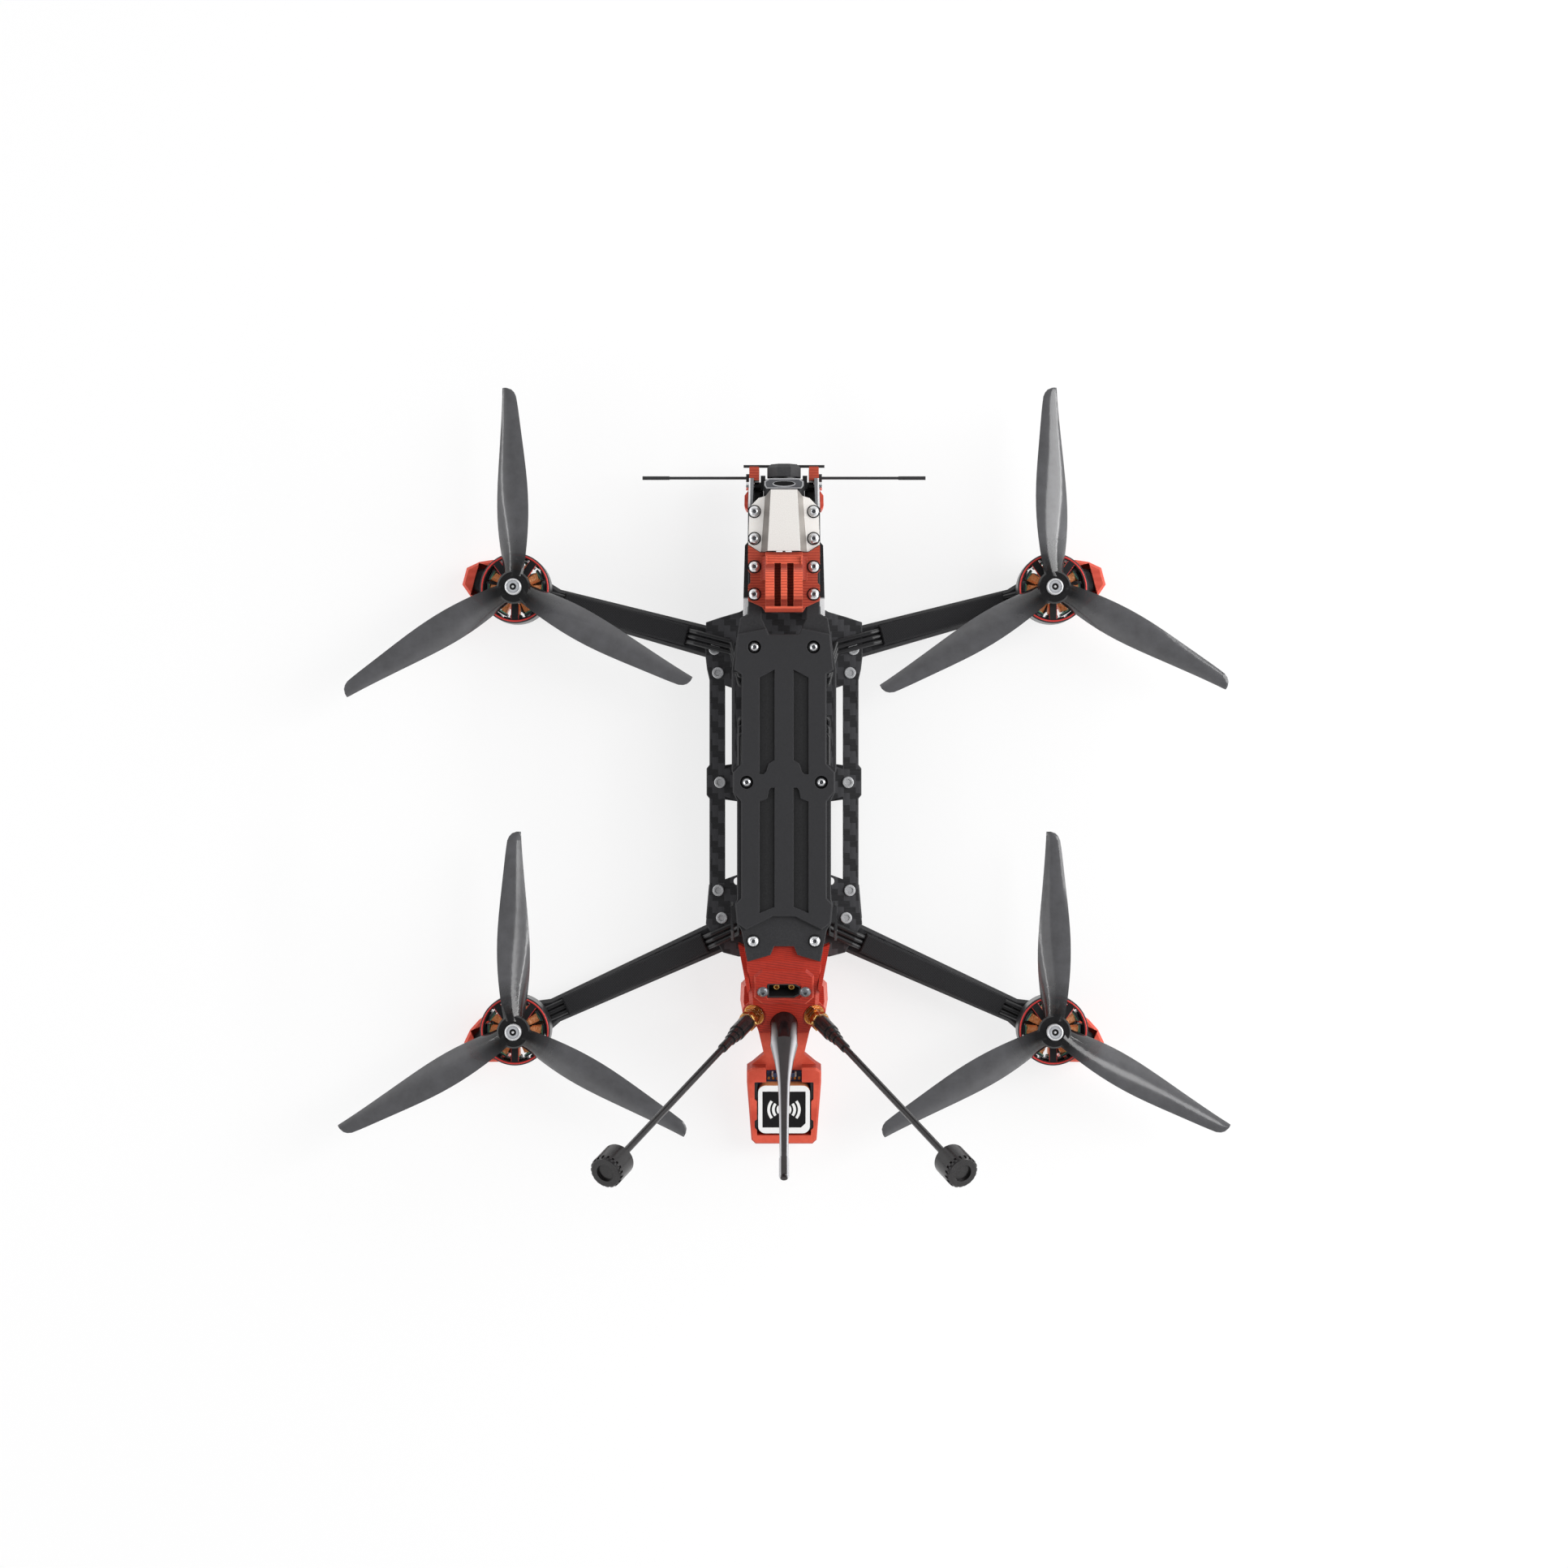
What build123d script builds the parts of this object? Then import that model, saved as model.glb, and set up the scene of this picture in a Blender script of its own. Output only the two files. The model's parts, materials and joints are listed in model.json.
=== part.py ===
from build123d import *
import os
from math import cos, pi, radians, sin, sqrt, tan

os.makedirs("parts", exist_ok=True)

# Long-range FPV quadcopter, in millimetres. +X is its left side, -Y its nose, +Z up.
# Z = 0 is the ground under the four arm guards.

# ---- frame: heights ----
BOTTOM_Z = 7.5
PLATE = 2.5
ARM_Z = BOTTOM_Z + PLATE
ARM_THICK = 6.0
MID_Z = ARM_Z + ARM_THICK
DECK_Z = MID_Z + PLATE
STANDOFF = 30.0
TOP_Z = DECK_Z + STANDOFF
PAD_Z = TOP_Z + PLATE
PAD_THICK = 2.5

# ---- frame: plan ----
MOTOR_X = 128.7
FRONT_Y = -89.4
REAR_Y = 122.2
FRONT_SWEEP = 15.0
REAR_SWEEP = 24.4
BOLT_R = 1.5
BOLT_HOLE_R = 1.6
TAP_R = 1.55
FRAME_BOLTS = [(33.6, -60.9), (32.0, -49.5), (31.0, 3.5), (31.8, 55.8), (30.1, 69.1)]
DECK_SCREWS = [(14.0, -60.6), (17.7, 3.5), (14.6, 78.8)]
NOSE_SCREW_X = 14.0
COVER_SCREW_Y = [-124.8, -112.0]
MOUNT_SCREW_Y = [-98.5, -85.5]
NOSE_BOLTS = [(13.2, -112.0), (13.2, -90.0)]
STACK_Y = -35.5
RECEIVER_Y = -95.0
STACK_PITCH = 30.5
STACK_BOLTS = [(STACK_PITCH / 2, STACK_Y - STACK_PITCH / 2), (STACK_PITCH / 2, STACK_Y + STACK_PITCH / 2)]

# ---- motors and propellers ----
# corner: (side, motor Y, blade heading from the nose, spin seen from above: +1 is anticlockwise)
CORNERS = {
    "front_left": (1, FRONT_Y, 2.2, -1),
    "front_right": (-1, FRONT_Y, 0.4, 1),
    "rear_left": (1, REAR_Y, -0.8, 1),
    "rear_right": (-1, REAR_Y, 1.0, -1),
}
BASE_R = 14.0
BASE_CORE_R = 8.2
BASE_LOBE_R = 3.7
BELL_R = 16.8
BELL_BOTTOM = MID_Z + 5.0
BELL_TOP = MID_Z + 22.0
SHAFT_R = 2.5
HUB_R = 8.0
HUB_TALL = 8.5
PROP_R = 95.25
PROP_PITCH = 94.0
TWIST_EASE = 20.0
BLADE_MID_Z = BELL_TOP + 4.6
# radius, trailing edge, leading edge, thickness, all seen from above
BLADE = [
    (5.0, -4.6, 4.6, 3.6),
    (20.0, -6.2, 7.1, 2.5),
    (35.0, -6.9, 8.4, 2.05),
    (50.0, -6.1, 8.3, 1.7),
    (65.0, -4.6, 7.15, 1.5),
    (80.0, -3.1, 5.75, 1.2),
    (91.0, -2.2, 4.5, 0.95),
]
BLADE_TIP = [
    (91.0, -2.2, 4.5, 0.95),
    (93.0, -2.1, 3.6, 0.9),
    (94.4, -2.0, 2.3, 0.8),
    (PROP_R, -1.9, 0.2, 0.7),
]

# ---- camera ----
PIVOT_Y = -138.0
PIVOT_Z = 37.0
CAMERA = 19.0
CAMERA_REAR_Y = -122.0
CAMERA_FRONT_Y = -140.8
LONG_ANTENNA = (-142.7, 30.0)
SHORT_ANTENNA = (-148.9, 24.0)

# ---- tail ----
DECK_TILT = 30.0
PORT_Y = 103.0
PORT_PIN_X = 3.6
PORT_SCREW_X = 10.1
SIDE_ANTENNA_BASE = (14.2, 114.9, 31.5)
SIDE_ANTENNA_PLAN = (0.73, 0.68)
SIDE_ANTENNA_RISE = 58.0
WHIP_BASE = (0.0, 119.7, 32.0)
WHIP_RISE = 48.0
GPS_Y = 158.6
GPS_Z = 14.0
GPS_TILT = 18.0

STAND = (Align.CENTER, Align.CENTER, Align.MIN)


def write(builder, name):
    """Label a finished piece and write its STEP file."""
    builder.part.label = name
    export_step(builder.part, f"parts/{name}.step")


def both(points, *z):
    """The given left-side points and their mirror images, at an optional height."""
    return [(side * x, y, *z) for x, y in points for side in (1, -1)]


def mirrored(half):
    """Whole outline, symmetric about the centre line, from its left half."""
    return [*half, *[(-x, y) for x, y in reversed(half) if x]]


def flipped(half):
    """Whole outline, symmetric about the arm's own axis, from one half."""
    return [*half, *[(u, -v) for u, v in reversed(half)]]


def on_side(side, points):
    """The same points on the left (+1) or the right (-1)."""
    return [(side * x, y) for x, y in points]


def arm_angle(y):
    """Outward heading of the left arm that carries the motor at this Y."""
    return -FRONT_SWEEP if y < 0 else REAR_SWEEP


def arm_plane(side, y, z):
    """Plane at a motor's axis, with its x direction outward along the arm."""
    angle = radians(arm_angle(y))
    return Plane(origin=(side * MOTOR_X, y, z), x_dir=(side * cos(angle), sin(angle), 0), z_dir=(0, 0, 1))


def motor_plane(side, y, z):
    """Horizontal plane at a motor's axis."""
    return Plane.XY.offset(z).shift_origin((side * MOTOR_X, y, z))


# ======== frame plates ========
BOTTOM_OUTLINE = [
    (0, -79), (22, -77), (30.6, -74.4), (36, -72), (36.3, -58), (35, -47), (23, -45), (21, -42),
    (21, -6), (35.2, -4), (35.2, 11), (21, 13), (21, 47), (20, 53), (34.5, 54.6), (36, 71), (28, 84),
    (21, 86), (0, 86),
]
MID_OUTLINE = [
    (0, -118), (12, -118), (16.2, -113), (16.2, -82), (21.6, -79), (30.6, -76.4), (37.8, -74),
    (38.1, -58.1), (37.3, -51.3), (36.1, -46), (36.1, -5), (37.5, -3.2), (37.5, 9.6), (36.1, 11.4),
    (36.1, 53), (37.9, 72), (29.6, 85.9), (22, 87.9), (15, 87.9), (15, 80.9), (0, 80.9),
]
FRONT_WINDOW = [(28.5, -43.4), (24.0, -41.8), (24.0, -4.6), (28.5, -3.0)]
REAR_WINDOW = [(28.5, 10.3), (21.8, 12.6), (21.8, 48.0), (28.5, 50.4)]
PEEP_HOLE = (22.5, 51.4)
PEEP_HOLE_R = 1.9

with BuildPart() as bottom_plate:
    with BuildSketch(Plane.XY.offset(BOTTOM_Z)):
        Polygon(*mirrored(BOTTOM_OUTLINE), align=None)
        with Locations(*both(FRAME_BOLTS)):
            Circle(BOLT_HOLE_R, mode=Mode.SUBTRACT)
        with Locations((0, 40), (0, -32)):
            SlotCenterToCenter(20, 12, rotation=90, mode=Mode.SUBTRACT)
    extrude(amount=PLATE)
    chamfer(bottom_plate.edges().group_by(Axis.Z)[0], 0.4)
write(bottom_plate, "bottom_plate")

with BuildPart() as mid_plate:
    with BuildSketch(Plane.XY.offset(MID_Z)):
        Polygon(*mirrored(MID_OUTLINE), align=None)
        for side in (1, -1):
            for window in (FRONT_WINDOW, REAR_WINDOW):
                Polygon(*on_side(side, window), align=None, mode=Mode.SUBTRACT)
        with Locations(*both(FRAME_BOLTS + DECK_SCREWS + NOSE_BOLTS + STACK_BOLTS)):
            Circle(BOLT_HOLE_R, mode=Mode.SUBTRACT)
        with Locations(*both([PEEP_HOLE])):
            Circle(PEEP_HOLE_R, mode=Mode.SUBTRACT)
        with Locations((0, -98), (0, 40)):
            SlotCenterToCenter(16, 9, rotation=90, mode=Mode.SUBTRACT)
    extrude(amount=PLATE)
    chamfer(mid_plate.faces().sort_by(Axis.Z)[-1].outer_wire().edges(), 0.4)
write(mid_plate, "mid_plate")

# The top plate's two prongs run forward beside the centre line, under the mount and the cover.
TOP_OUTLINE = [
    (7.1, -66.7), (10.6, -74.4), (10.6, -127.2), (16.4, -127.2), (17.0, -125), (17.0, -76.5),
    (20.8, -74.4), (22.1, -66.7), (24.8, -49.5), (24.8, -1.8), (24.3, -1.0), (24.3, 8.2), (22.3, 12.2),
    (22.3, 59.0), (23.2, 61.2), (22.4, 70.4), (20.3, 73.6), (17.3, 88.6), (6.4, 85.4), (4.7, 81.3),
]
STRAP_SLOT = [(23.4, -48.8), (20.2, -48.0), (20.2, -5.2), (23.4, -3.9)]
NOSE_SCREWS = [(NOSE_SCREW_X, y) for y in COVER_SCREW_Y + MOUNT_SCREW_Y]

with BuildPart() as top_plate:
    with BuildSketch(Plane.XY.offset(TOP_Z)):
        Polygon(*mirrored(TOP_OUTLINE), align=None)
        for side in (1, -1):
            Polygon(*on_side(side, STRAP_SLOT), align=None, mode=Mode.SUBTRACT)
        with Locations(*both(DECK_SCREWS + NOSE_SCREWS)):
            Circle(BOLT_HOLE_R, mode=Mode.SUBTRACT)
    extrude(amount=PLATE)
    chamfer(top_plate.faces().sort_by(Axis.Z)[-1].outer_wire().edges(), 0.35)
write(top_plate, "top_plate")

# Soft battery pad: two pairs of grooves, and holes round the two pairs of screws that it covers.
PAD_OUTLINE = [
    (7.1, -66.7), (8.4, -69.6), (22.0, -66.7), (23.6, -49.8), (20.1, -47.6), (20.1, -5.4), (24.1, -1.2),
    (24.1, 8.0), (20.3, 12.6), (20.3, 58.4), (23.0, 61.2), (22.2, 70.2), (17.9, 73.4), (5.3, 67.1),
]
FRONT_GROOVE = [
    (4.4, -50), (11.7, -46.2), (11.7, -0.3), (9.6, -0.3), (8.4, -1.6), (7.1, -5.4), (4.4, -7),
]
REAR_GROOVE = [
    (4.4, 6), (6.2, 6), (7.2, 7.3), (8.0, 11.1), (11.7, 12.6), (11.7, 65.5), (4.4, 62.6),
]
GROOVE_DEEP = 1.2
PAD_HOLE_R = 3.1

with BuildPart() as battery_pad:
    with BuildSketch(Plane.XY.offset(PAD_Z)):
        Polygon(*mirrored(PAD_OUTLINE), align=None)
        with Locations(*both(DECK_SCREWS[:2])):
            Circle(PAD_HOLE_R, mode=Mode.SUBTRACT)
    extrude(amount=PAD_THICK)
    chamfer(battery_pad.faces().sort_by(Axis.Z)[-1].outer_wire().edges(), 0.5)
    with BuildSketch(Plane.XY.offset(PAD_Z + PAD_THICK)):
        for side in (1, -1):
            for groove in (FRONT_GROOVE, REAR_GROOVE):
                Polygon(*on_side(side, groove), align=None)
    extrude(amount=-GROOVE_DEEP, mode=Mode.SUBTRACT)
write(battery_pad, "battery_pad")

# ======== arms and their guards ========
# Half outline in the arm's own axes, origin at the motor, x outward.
ARM_HALF = [
    (23.2, 3.0), (21.5, 5.2), (16.0, 7.2), (8.0, 9.2), (-3.0, 9.6), (-10.0, 8.8), (-19.5, 5.9),
]
ARM_ROOT_HALF = 7.7
ARM_CHAMFER = 1.5
ARM_LENGTH = {FRONT_Y: 107.0, REAR_Y: 112.0}
ARM_LUG = {
    FRONT_Y: [(38, -71), (37.6, -57), (36.2, -46.6), (25, -46.6), (22, -52), (22, -72), (30, -74)],
    REAR_Y: [(36.4, 53.2), (37.8, 69), (36, 76), (29, 83), (22, 83), (22, 61), (25, 53.2)],
}
MOTOR_SCREW = 6.72
GUARD_HALF = [(10.6, 12.0), (16.0, 11.2), (21.9, 8.6), (27.1, 4.2)]
GUARD_TOP = MID_Z + 1.5
LIP_START = 21.9


def build_arm(side, y):
    """Carbon arm: flared motor pad, tapered beam with chamfered edges, clamped root."""
    root = -ARM_LENGTH[y]
    half = ARM_HALF + [(root, ARM_ROOT_HALF)]
    with BuildPart() as arm:
        with BuildSketch(arm_plane(side, y, ARM_Z)):
            Polygon(*flipped(half), align=None)
        extrude(amount=ARM_THICK)
        chamfer(arm.edges().group_by(Axis.Z)[-1], ARM_CHAMFER)
        chamfer(arm.edges().group_by(Axis.Z)[0], ARM_CHAMFER / 2)
        with BuildSketch(Plane.XY.offset(ARM_Z)):
            Polygon(*on_side(side, ARM_LUG[y]), align=None)
        extrude(amount=ARM_THICK)
        with BuildSketch(Plane.XY.offset(ARM_Z)):
            with Locations(*[(side * px, py) for px, py in FRAME_BOLTS if py * y > 0 and abs(py) > 20]):
                Circle(BOLT_HOLE_R)
        extrude(amount=ARM_THICK, mode=Mode.SUBTRACT)
        with BuildSketch(arm_plane(side, y, ARM_Z)):
            Circle(4.5)
            with GridLocations(2 * MOTOR_SCREW, 2 * MOTOR_SCREW, 2, 2):
                Circle(BOLT_HOLE_R)
        extrude(amount=ARM_THICK, mode=Mode.SUBTRACT)
    return arm


ARMS = {}
for corner, (side, motor_y, heading, spin) in CORNERS.items():
    ARMS[corner] = build_arm(side, motor_y)
    write(ARMS[corner], f"arm_{corner}")


def build_guard(side, y, arm):
    """Printed cap on an arm's end: a foot below it, side walls and a lip over its tip."""
    with BuildPart() as guard:
        with BuildSketch(arm_plane(side, y, 0)):
            Polygon(*flipped(GUARD_HALF), align=None)
        extrude(amount=GUARD_TOP)
        chamfer(guard.edges().group_by(Axis.Z)[0], 2.2)
        chamfer(guard.edges().group_by(Axis.Z)[-1], 1.2)
        with BuildSketch(arm_plane(side, y, ARM_Z)):
            with Locations((LIP_START / 2, 0)):
                Rectangle(LIP_START, 2 * 8.0)
        extrude(amount=GUARD_TOP - ARM_Z, mode=Mode.SUBTRACT)
        with BuildSketch(motor_plane(side, y, MID_Z)):
            Circle(BASE_R + 0.6)
        extrude(amount=GUARD_TOP - MID_Z, mode=Mode.SUBTRACT)
        add(arm, mode=Mode.SUBTRACT)
    return guard.part


guards = [build_guard(*CORNERS[corner][:2], ARMS[corner].part) for corner in CORNERS]
with BuildPart() as arm_guards:
    add(guards)
write(arm_guards, "arm_guards")

# ======== motors ========
TUBE_R = 4.6
BORE_R = SHAFT_R + 0.05
STATOR_R = 13.9
TEETH = 12
TOOTH = 1.7
STATOR_Z = BELL_BOTTOM + 2.5
STATOR_TALL = 9.0
MAGNETS = 14
SPOKES = 5
COIL_HALF = [(6.4, 1.25), (12.3, 2.55)]
RING_GROOVE_R = 15.8


def build_base(side, y):
    """Motor foot with a lobe for each screw, and the bearing tube that the stator sits on."""
    with BuildPart() as base:
        with BuildSketch(arm_plane(side, y, MID_Z)):
            Circle(BASE_CORE_R)
            with GridLocations(2 * MOTOR_SCREW, 2 * MOTOR_SCREW, 2, 2):
                Circle(BASE_LOBE_R)
            with GridLocations(2 * MOTOR_SCREW, 2 * MOTOR_SCREW, 2, 2):
                Circle(TAP_R, mode=Mode.SUBTRACT)
        extrude(amount=2.6)
        chamfer(base.faces().sort_by(Axis.Z)[-1].outer_wire().edges(), 0.4)
        with BuildSketch(arm_plane(side, y, MID_Z)):
            Circle(TUBE_R)
        extrude(amount=STATOR_Z + STATOR_TALL + 1.0 - MID_Z)
        with BuildSketch(arm_plane(side, y, MID_Z)):
            Circle(BORE_R)
        extrude(amount=BELL_TOP - MID_Z, mode=Mode.SUBTRACT)
    return base.part


def build_stator(side, y):
    """Laminated stator: hub, teeth and their curved shoes."""
    with BuildPart() as stator:
        with BuildSketch(motor_plane(side, y, STATOR_Z)):
            Circle(STATOR_R)
            Circle(STATOR_R - 1.1, mode=Mode.SUBTRACT)
            with PolarLocations(STATOR_R - 0.5, TEETH, start_angle=180 / TEETH):
                Rectangle(3.0, 1.5, mode=Mode.SUBTRACT)
            with PolarLocations(STATOR_R / 2 + 1.5, TEETH):
                Rectangle(STATOR_R - 3.5, TOOTH)
            Circle(5.9)
            Circle(TUBE_R, mode=Mode.SUBTRACT)
        extrude(amount=STATOR_TALL)
    return stator.part


def build_coils(side, y):
    """One copper coil round each tooth."""
    (inner_r, inner_half), (outer_r, outer_half) = COIL_HALF
    with BuildPart() as coils:
        with BuildSketch(motor_plane(side, y, STATOR_Z - 1.4)):
            with PolarLocations(0, TEETH):
                Polygon(
                    (inner_r, inner_half), (outer_r, outer_half),
                    (outer_r, -outer_half), (inner_r, -inner_half), align=None,
                )
        extrude(amount=STATOR_TALL + 2.8)
        with BuildSketch(motor_plane(side, y, STATOR_Z)):
            with PolarLocations(STATOR_R / 2 + 1.5, TEETH):
                Rectangle(STATOR_R - 2, TOOTH)
        extrude(amount=STATOR_TALL, mode=Mode.SUBTRACT)
    return coils.part


def build_bell(side, y):
    """Turning bell: hub and shaft, spokes, rim with a groove for its ring, and inner magnets."""
    x = side * MOTOR_X
    with BuildPart() as bell:
        with BuildSketch(motor_plane(side, y, BELL_BOTTOM)):
            Circle(BELL_R)
            Circle(BELL_R - 1.3, mode=Mode.SUBTRACT)
        extrude(amount=BELL_TOP - BELL_BOTTOM)
        with BuildSketch(motor_plane(side, y, BELL_TOP)):
            Circle(BELL_R)
            Circle(14.9, mode=Mode.SUBTRACT)
        extrude(amount=-3.0)
        outer = bell.edges().filter_by(GeomType.CIRCLE).filter_by(lambda e: abs(e.radius - BELL_R) < 0.01)
        chamfer(outer.sort_by(Axis.Z)[-1], 0.7)
        chamfer(outer.sort_by(Axis.Z)[0], 0.5)
        with BuildSketch(motor_plane(side, y, BELL_TOP)):
            Circle(RING_GROOVE_R + 0.35)
            Circle(RING_GROOVE_R - 0.45, mode=Mode.SUBTRACT)
        extrude(amount=-0.4, mode=Mode.SUBTRACT)
        with BuildSketch(motor_plane(side, y, BELL_TOP)):
            with PolarLocations(10.5, SPOKES, start_angle=90):
                Rectangle(9.6, 3.3)
        extrude(amount=-2.6)
        with BuildSketch(motor_plane(side, y, BELL_TOP)):
            Circle(7.2)
        extrude(amount=-3.0)
        with BuildSketch(motor_plane(side, y, MID_Z + 2.0)):
            Circle(SHAFT_R)
        extrude(amount=BELL_TOP + HUB_TALL + 3.2 - MID_Z - 2.0)
        with Locations((x, y, STATOR_Z + STATOR_TALL / 2)):
            with PolarLocations(14.9, MAGNETS):
                Box(1.5, 5.0, STATOR_TALL + 1.5)
    return bell.part


def blade_section(radius, trailing, leading, thick):
    """Corners and mid points of a thin cambered section, pitched as its radius calls for."""
    slope = PROP_PITCH / (2 * pi * sqrt(radius**2 + TWIST_EASE**2))
    low = -slope * (leading - trailing) / 2
    middle = (leading + trailing) / 2
    upper = (middle - slope * thick * 0.9, thick * 0.9)
    lower = (middle + slope * thick * 0.1, -thick * 0.1)
    return (trailing, low), upper, (leading, -low), lower


def build_propeller(side, y, heading, spin):
    """Three twisted blades on a hub, handed for the way this corner turns."""
    x = side * MOTOR_X
    with BuildPart() as propeller:
        with BuildSketch(motor_plane(side, y, BELL_TOP)):
            Circle(HUB_R)
        extrude(amount=HUB_TALL)
        chamfer(propeller.edges().group_by(Axis.Z)[-1], 0.8)
        for blade in range(3):
            angle = radians(-90 + heading + 120 * blade)
            out = Vector(cos(angle), sin(angle), 0)
            lead = Vector(-sin(angle), cos(angle), 0) * spin
            for stations, straight in ((BLADE, False), (BLADE_TIP, True)):
                for station in stations:
                    origin = Vector(x, y, BLADE_MID_Z) + out * station[0]
                    rear, upper, front, lower = blade_section(*station)
                    with BuildSketch(Plane(origin=origin, x_dir=lead, z_dir=out * spin)):
                        with BuildLine():
                            ThreePointArc(rear, upper, front)
                            ThreePointArc(front, lower, rear)
                        make_face()
                loft(ruled=straight)
        with BuildSketch(motor_plane(side, y, BELL_TOP + HUB_TALL)):
            Circle(4.4)
        extrude(amount=-1.2, mode=Mode.SUBTRACT)
        with BuildSketch(motor_plane(side, y, BELL_TOP)):
            Circle(SHAFT_R)
        extrude(amount=HUB_TALL, mode=Mode.SUBTRACT)
    return propeller.part


def build_nut(side, y):
    """Round lock nut with a flange and a blind hole in its domed end."""
    x = side * MOTOR_X
    seat = BELL_TOP + HUB_TALL - 1.2
    shaft_end = BELL_TOP + HUB_TALL + 3.2
    with BuildPart() as nut:
        with BuildSketch(Plane(origin=(x, y, seat), x_dir=(1, 0, 0), z_dir=(0, -1, 0))):
            Polygon(
                (0, 0), (3.9, 0), (3.9, 0.9), (3.65, 1.2), (3.65, 4.8), (3.1, 5.4), (1.15, 5.6), (1.15, 4.6),
                (0, 4.6), align=None,
            )
        revolve(axis=Axis((x, y, 0), (0, 0, 1)))
        with BuildSketch(motor_plane(side, y, seat)):
            Circle(SHAFT_R)
        extrude(amount=shaft_end - seat, mode=Mode.SUBTRACT)
    return nut.part


corners = [(side, y) for side, y, heading, spin in CORNERS.values()]
with BuildPart() as motor_bases:
    add([build_base(side, y) for side, y in corners])
write(motor_bases, "motor_bases")

with BuildPart() as stators:
    add([build_stator(side, y) for side, y in corners])
write(stators, "stators")

with BuildPart() as windings:
    add([build_coils(side, y) for side, y in corners])
write(windings, "windings")

for corner, (side, motor_y, heading, spin) in CORNERS.items():
    with BuildPart() as motor_bell:
        add(build_bell(side, motor_y))
    write(motor_bell, f"motor_bell_{corner}")
    with BuildPart() as propeller:
        add(build_propeller(side, motor_y, heading, spin))
    write(propeller, f"propeller_{corner}")
    with BuildPart() as prop_nut:
        add(build_nut(side, motor_y))
    write(prop_nut, f"prop_nut_{corner}")

# ======== nose ========
COVER_Z = PAD_Z
COVER_THICK = 1.2
MOUNT_FLANGE = 3.0
NOSE_TIP_Y = -141.4
SIDE_WALL = 2.2
SIDE_OUTER = [
    (16.6, NOSE_TIP_Y), (17.1, -127), (17.2, -110.6), (18.6, -109), (19.3, -84), (19.5, -75.5),
]
SIDE_PROFILE = [
    (-75.5, DECK_Z), (-75.5, TOP_Z), (-129, TOP_Z), (NOSE_TIP_Y, 44.0), (NOSE_TIP_Y, 27.5),
    (-130, DECK_Z),
]
SIDE_WINDOWS = [
    [(-126, 26), (-119, 22.5), (-110, 22.5), (-110, 30), (-115, 42), (-126, 42)],
    [(-105, 22.5), (-84, 22.5), (-84, 34), (-90, 42), (-110, 42)],
]
TOP_FLANGE = [(11.2, -127.0), (15.8, -127.0), (17.8, -80.0), (11.2, -80.0)]
FOOT_FLANGE = [(10.4, -117.0), (15.8, -117.0), (17.8, -84.0), (10.4, -84.0)]
NOSE_SHELF = [(11.6, -136.6), (13.6, -139.6), (15.6, -139.6), (15.8, -127.6), (11.6, -129.6)]
NOSE_SHELF_Z = 31.0


def build_side_plate(side):
    """Upright nose plate with inward flanges for the screws above and the bolts below."""
    wall = [*SIDE_OUTER, *[(x - SIDE_WALL, y) for x, y in reversed(SIDE_OUTER)]]
    with BuildPart() as plate:
        with BuildSketch(Plane.XY.offset(DECK_Z)):
            Polygon(*on_side(side, wall), align=None)
        extrude(amount=STANDOFF)
        with BuildSketch(Plane.YZ.offset(-30)):
            Polygon(*SIDE_PROFILE, align=None)
        extrude(amount=60, mode=Mode.INTERSECT)
        with BuildSketch(Plane.YZ.offset(-30)):
            for window in SIDE_WINDOWS:
                Polygon(*window, align=None)
        extrude(amount=60, mode=Mode.SUBTRACT)
        with BuildSketch(Plane.XY.offset(TOP_Z)):
            Polygon(*on_side(side, TOP_FLANGE), align=None)
            with Locations(*on_side(side, NOSE_SCREWS)):
                Circle(TAP_R, mode=Mode.SUBTRACT)
        extrude(amount=-4)
        with BuildSketch(Plane.XY.offset(DECK_Z)):
            Polygon(*on_side(side, FOOT_FLANGE), align=None)
            with Locations(*on_side(side, NOSE_BOLTS)):
                Circle(TAP_R, mode=Mode.SUBTRACT)
        extrude(amount=3)
        with BuildSketch(Plane.XY.offset(NOSE_SHELF_Z)):
            Polygon(*on_side(side, NOSE_SHELF), align=None)
        extrude(amount=1.6)
        with BuildSketch(Plane.XY.offset(TOP_Z)):
            with Locations(*on_side(side, NOSE_SCREWS)):
                Circle(TAP_R)
        extrude(amount=-4, mode=Mode.SUBTRACT)
        with BuildSketch(Plane.XY.offset(DECK_Z)):
            with Locations(*on_side(side, NOSE_BOLTS)):
                Circle(TAP_R)
        extrude(amount=3, mode=Mode.SUBTRACT)
        with BuildSketch(Plane.YZ.offset(-30)):
            with Locations((PIVOT_Y, PIVOT_Z)):
                Circle(1.05)
        extrude(amount=60, mode=Mode.SUBTRACT)
    return plate.part


with BuildPart() as nose_side_plate_left:
    add(build_side_plate(1))
write(nose_side_plate_left, "nose_side_plate_left")

with BuildPart() as nose_side_plate_right:
    add(build_side_plate(-1))
write(nose_side_plate_right, "nose_side_plate_right")

# Bent sheet cover: flat flanges, steep sides and a flat ridge that widens towards the rear.
RIDGE_Z = COVER_Z + 9.0
COVER_OUTLINE = [
    (6.3, -134.6), (8.6, -132.2), (12.1, -131.2), (16.4, -126.8), (16.9, -109.2), (11.4, -105.7), (0, -105.7),
]


def cover_section(foot, ridge):
    """Cross-section of the sheet: foot and ridge are its outer half widths."""
    half = [(19, COVER_Z), (19, COVER_Z + COVER_THICK), (foot, COVER_Z + COVER_THICK), (ridge, RIDGE_Z)]
    under = [(foot - 1.25, COVER_Z), (ridge - 0.75, RIDGE_Z - COVER_THICK)]
    return [*half, *[(-x, z) for x, z in reversed(half)], *[(-x, z) for x, z in under], *reversed(under)]


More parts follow.
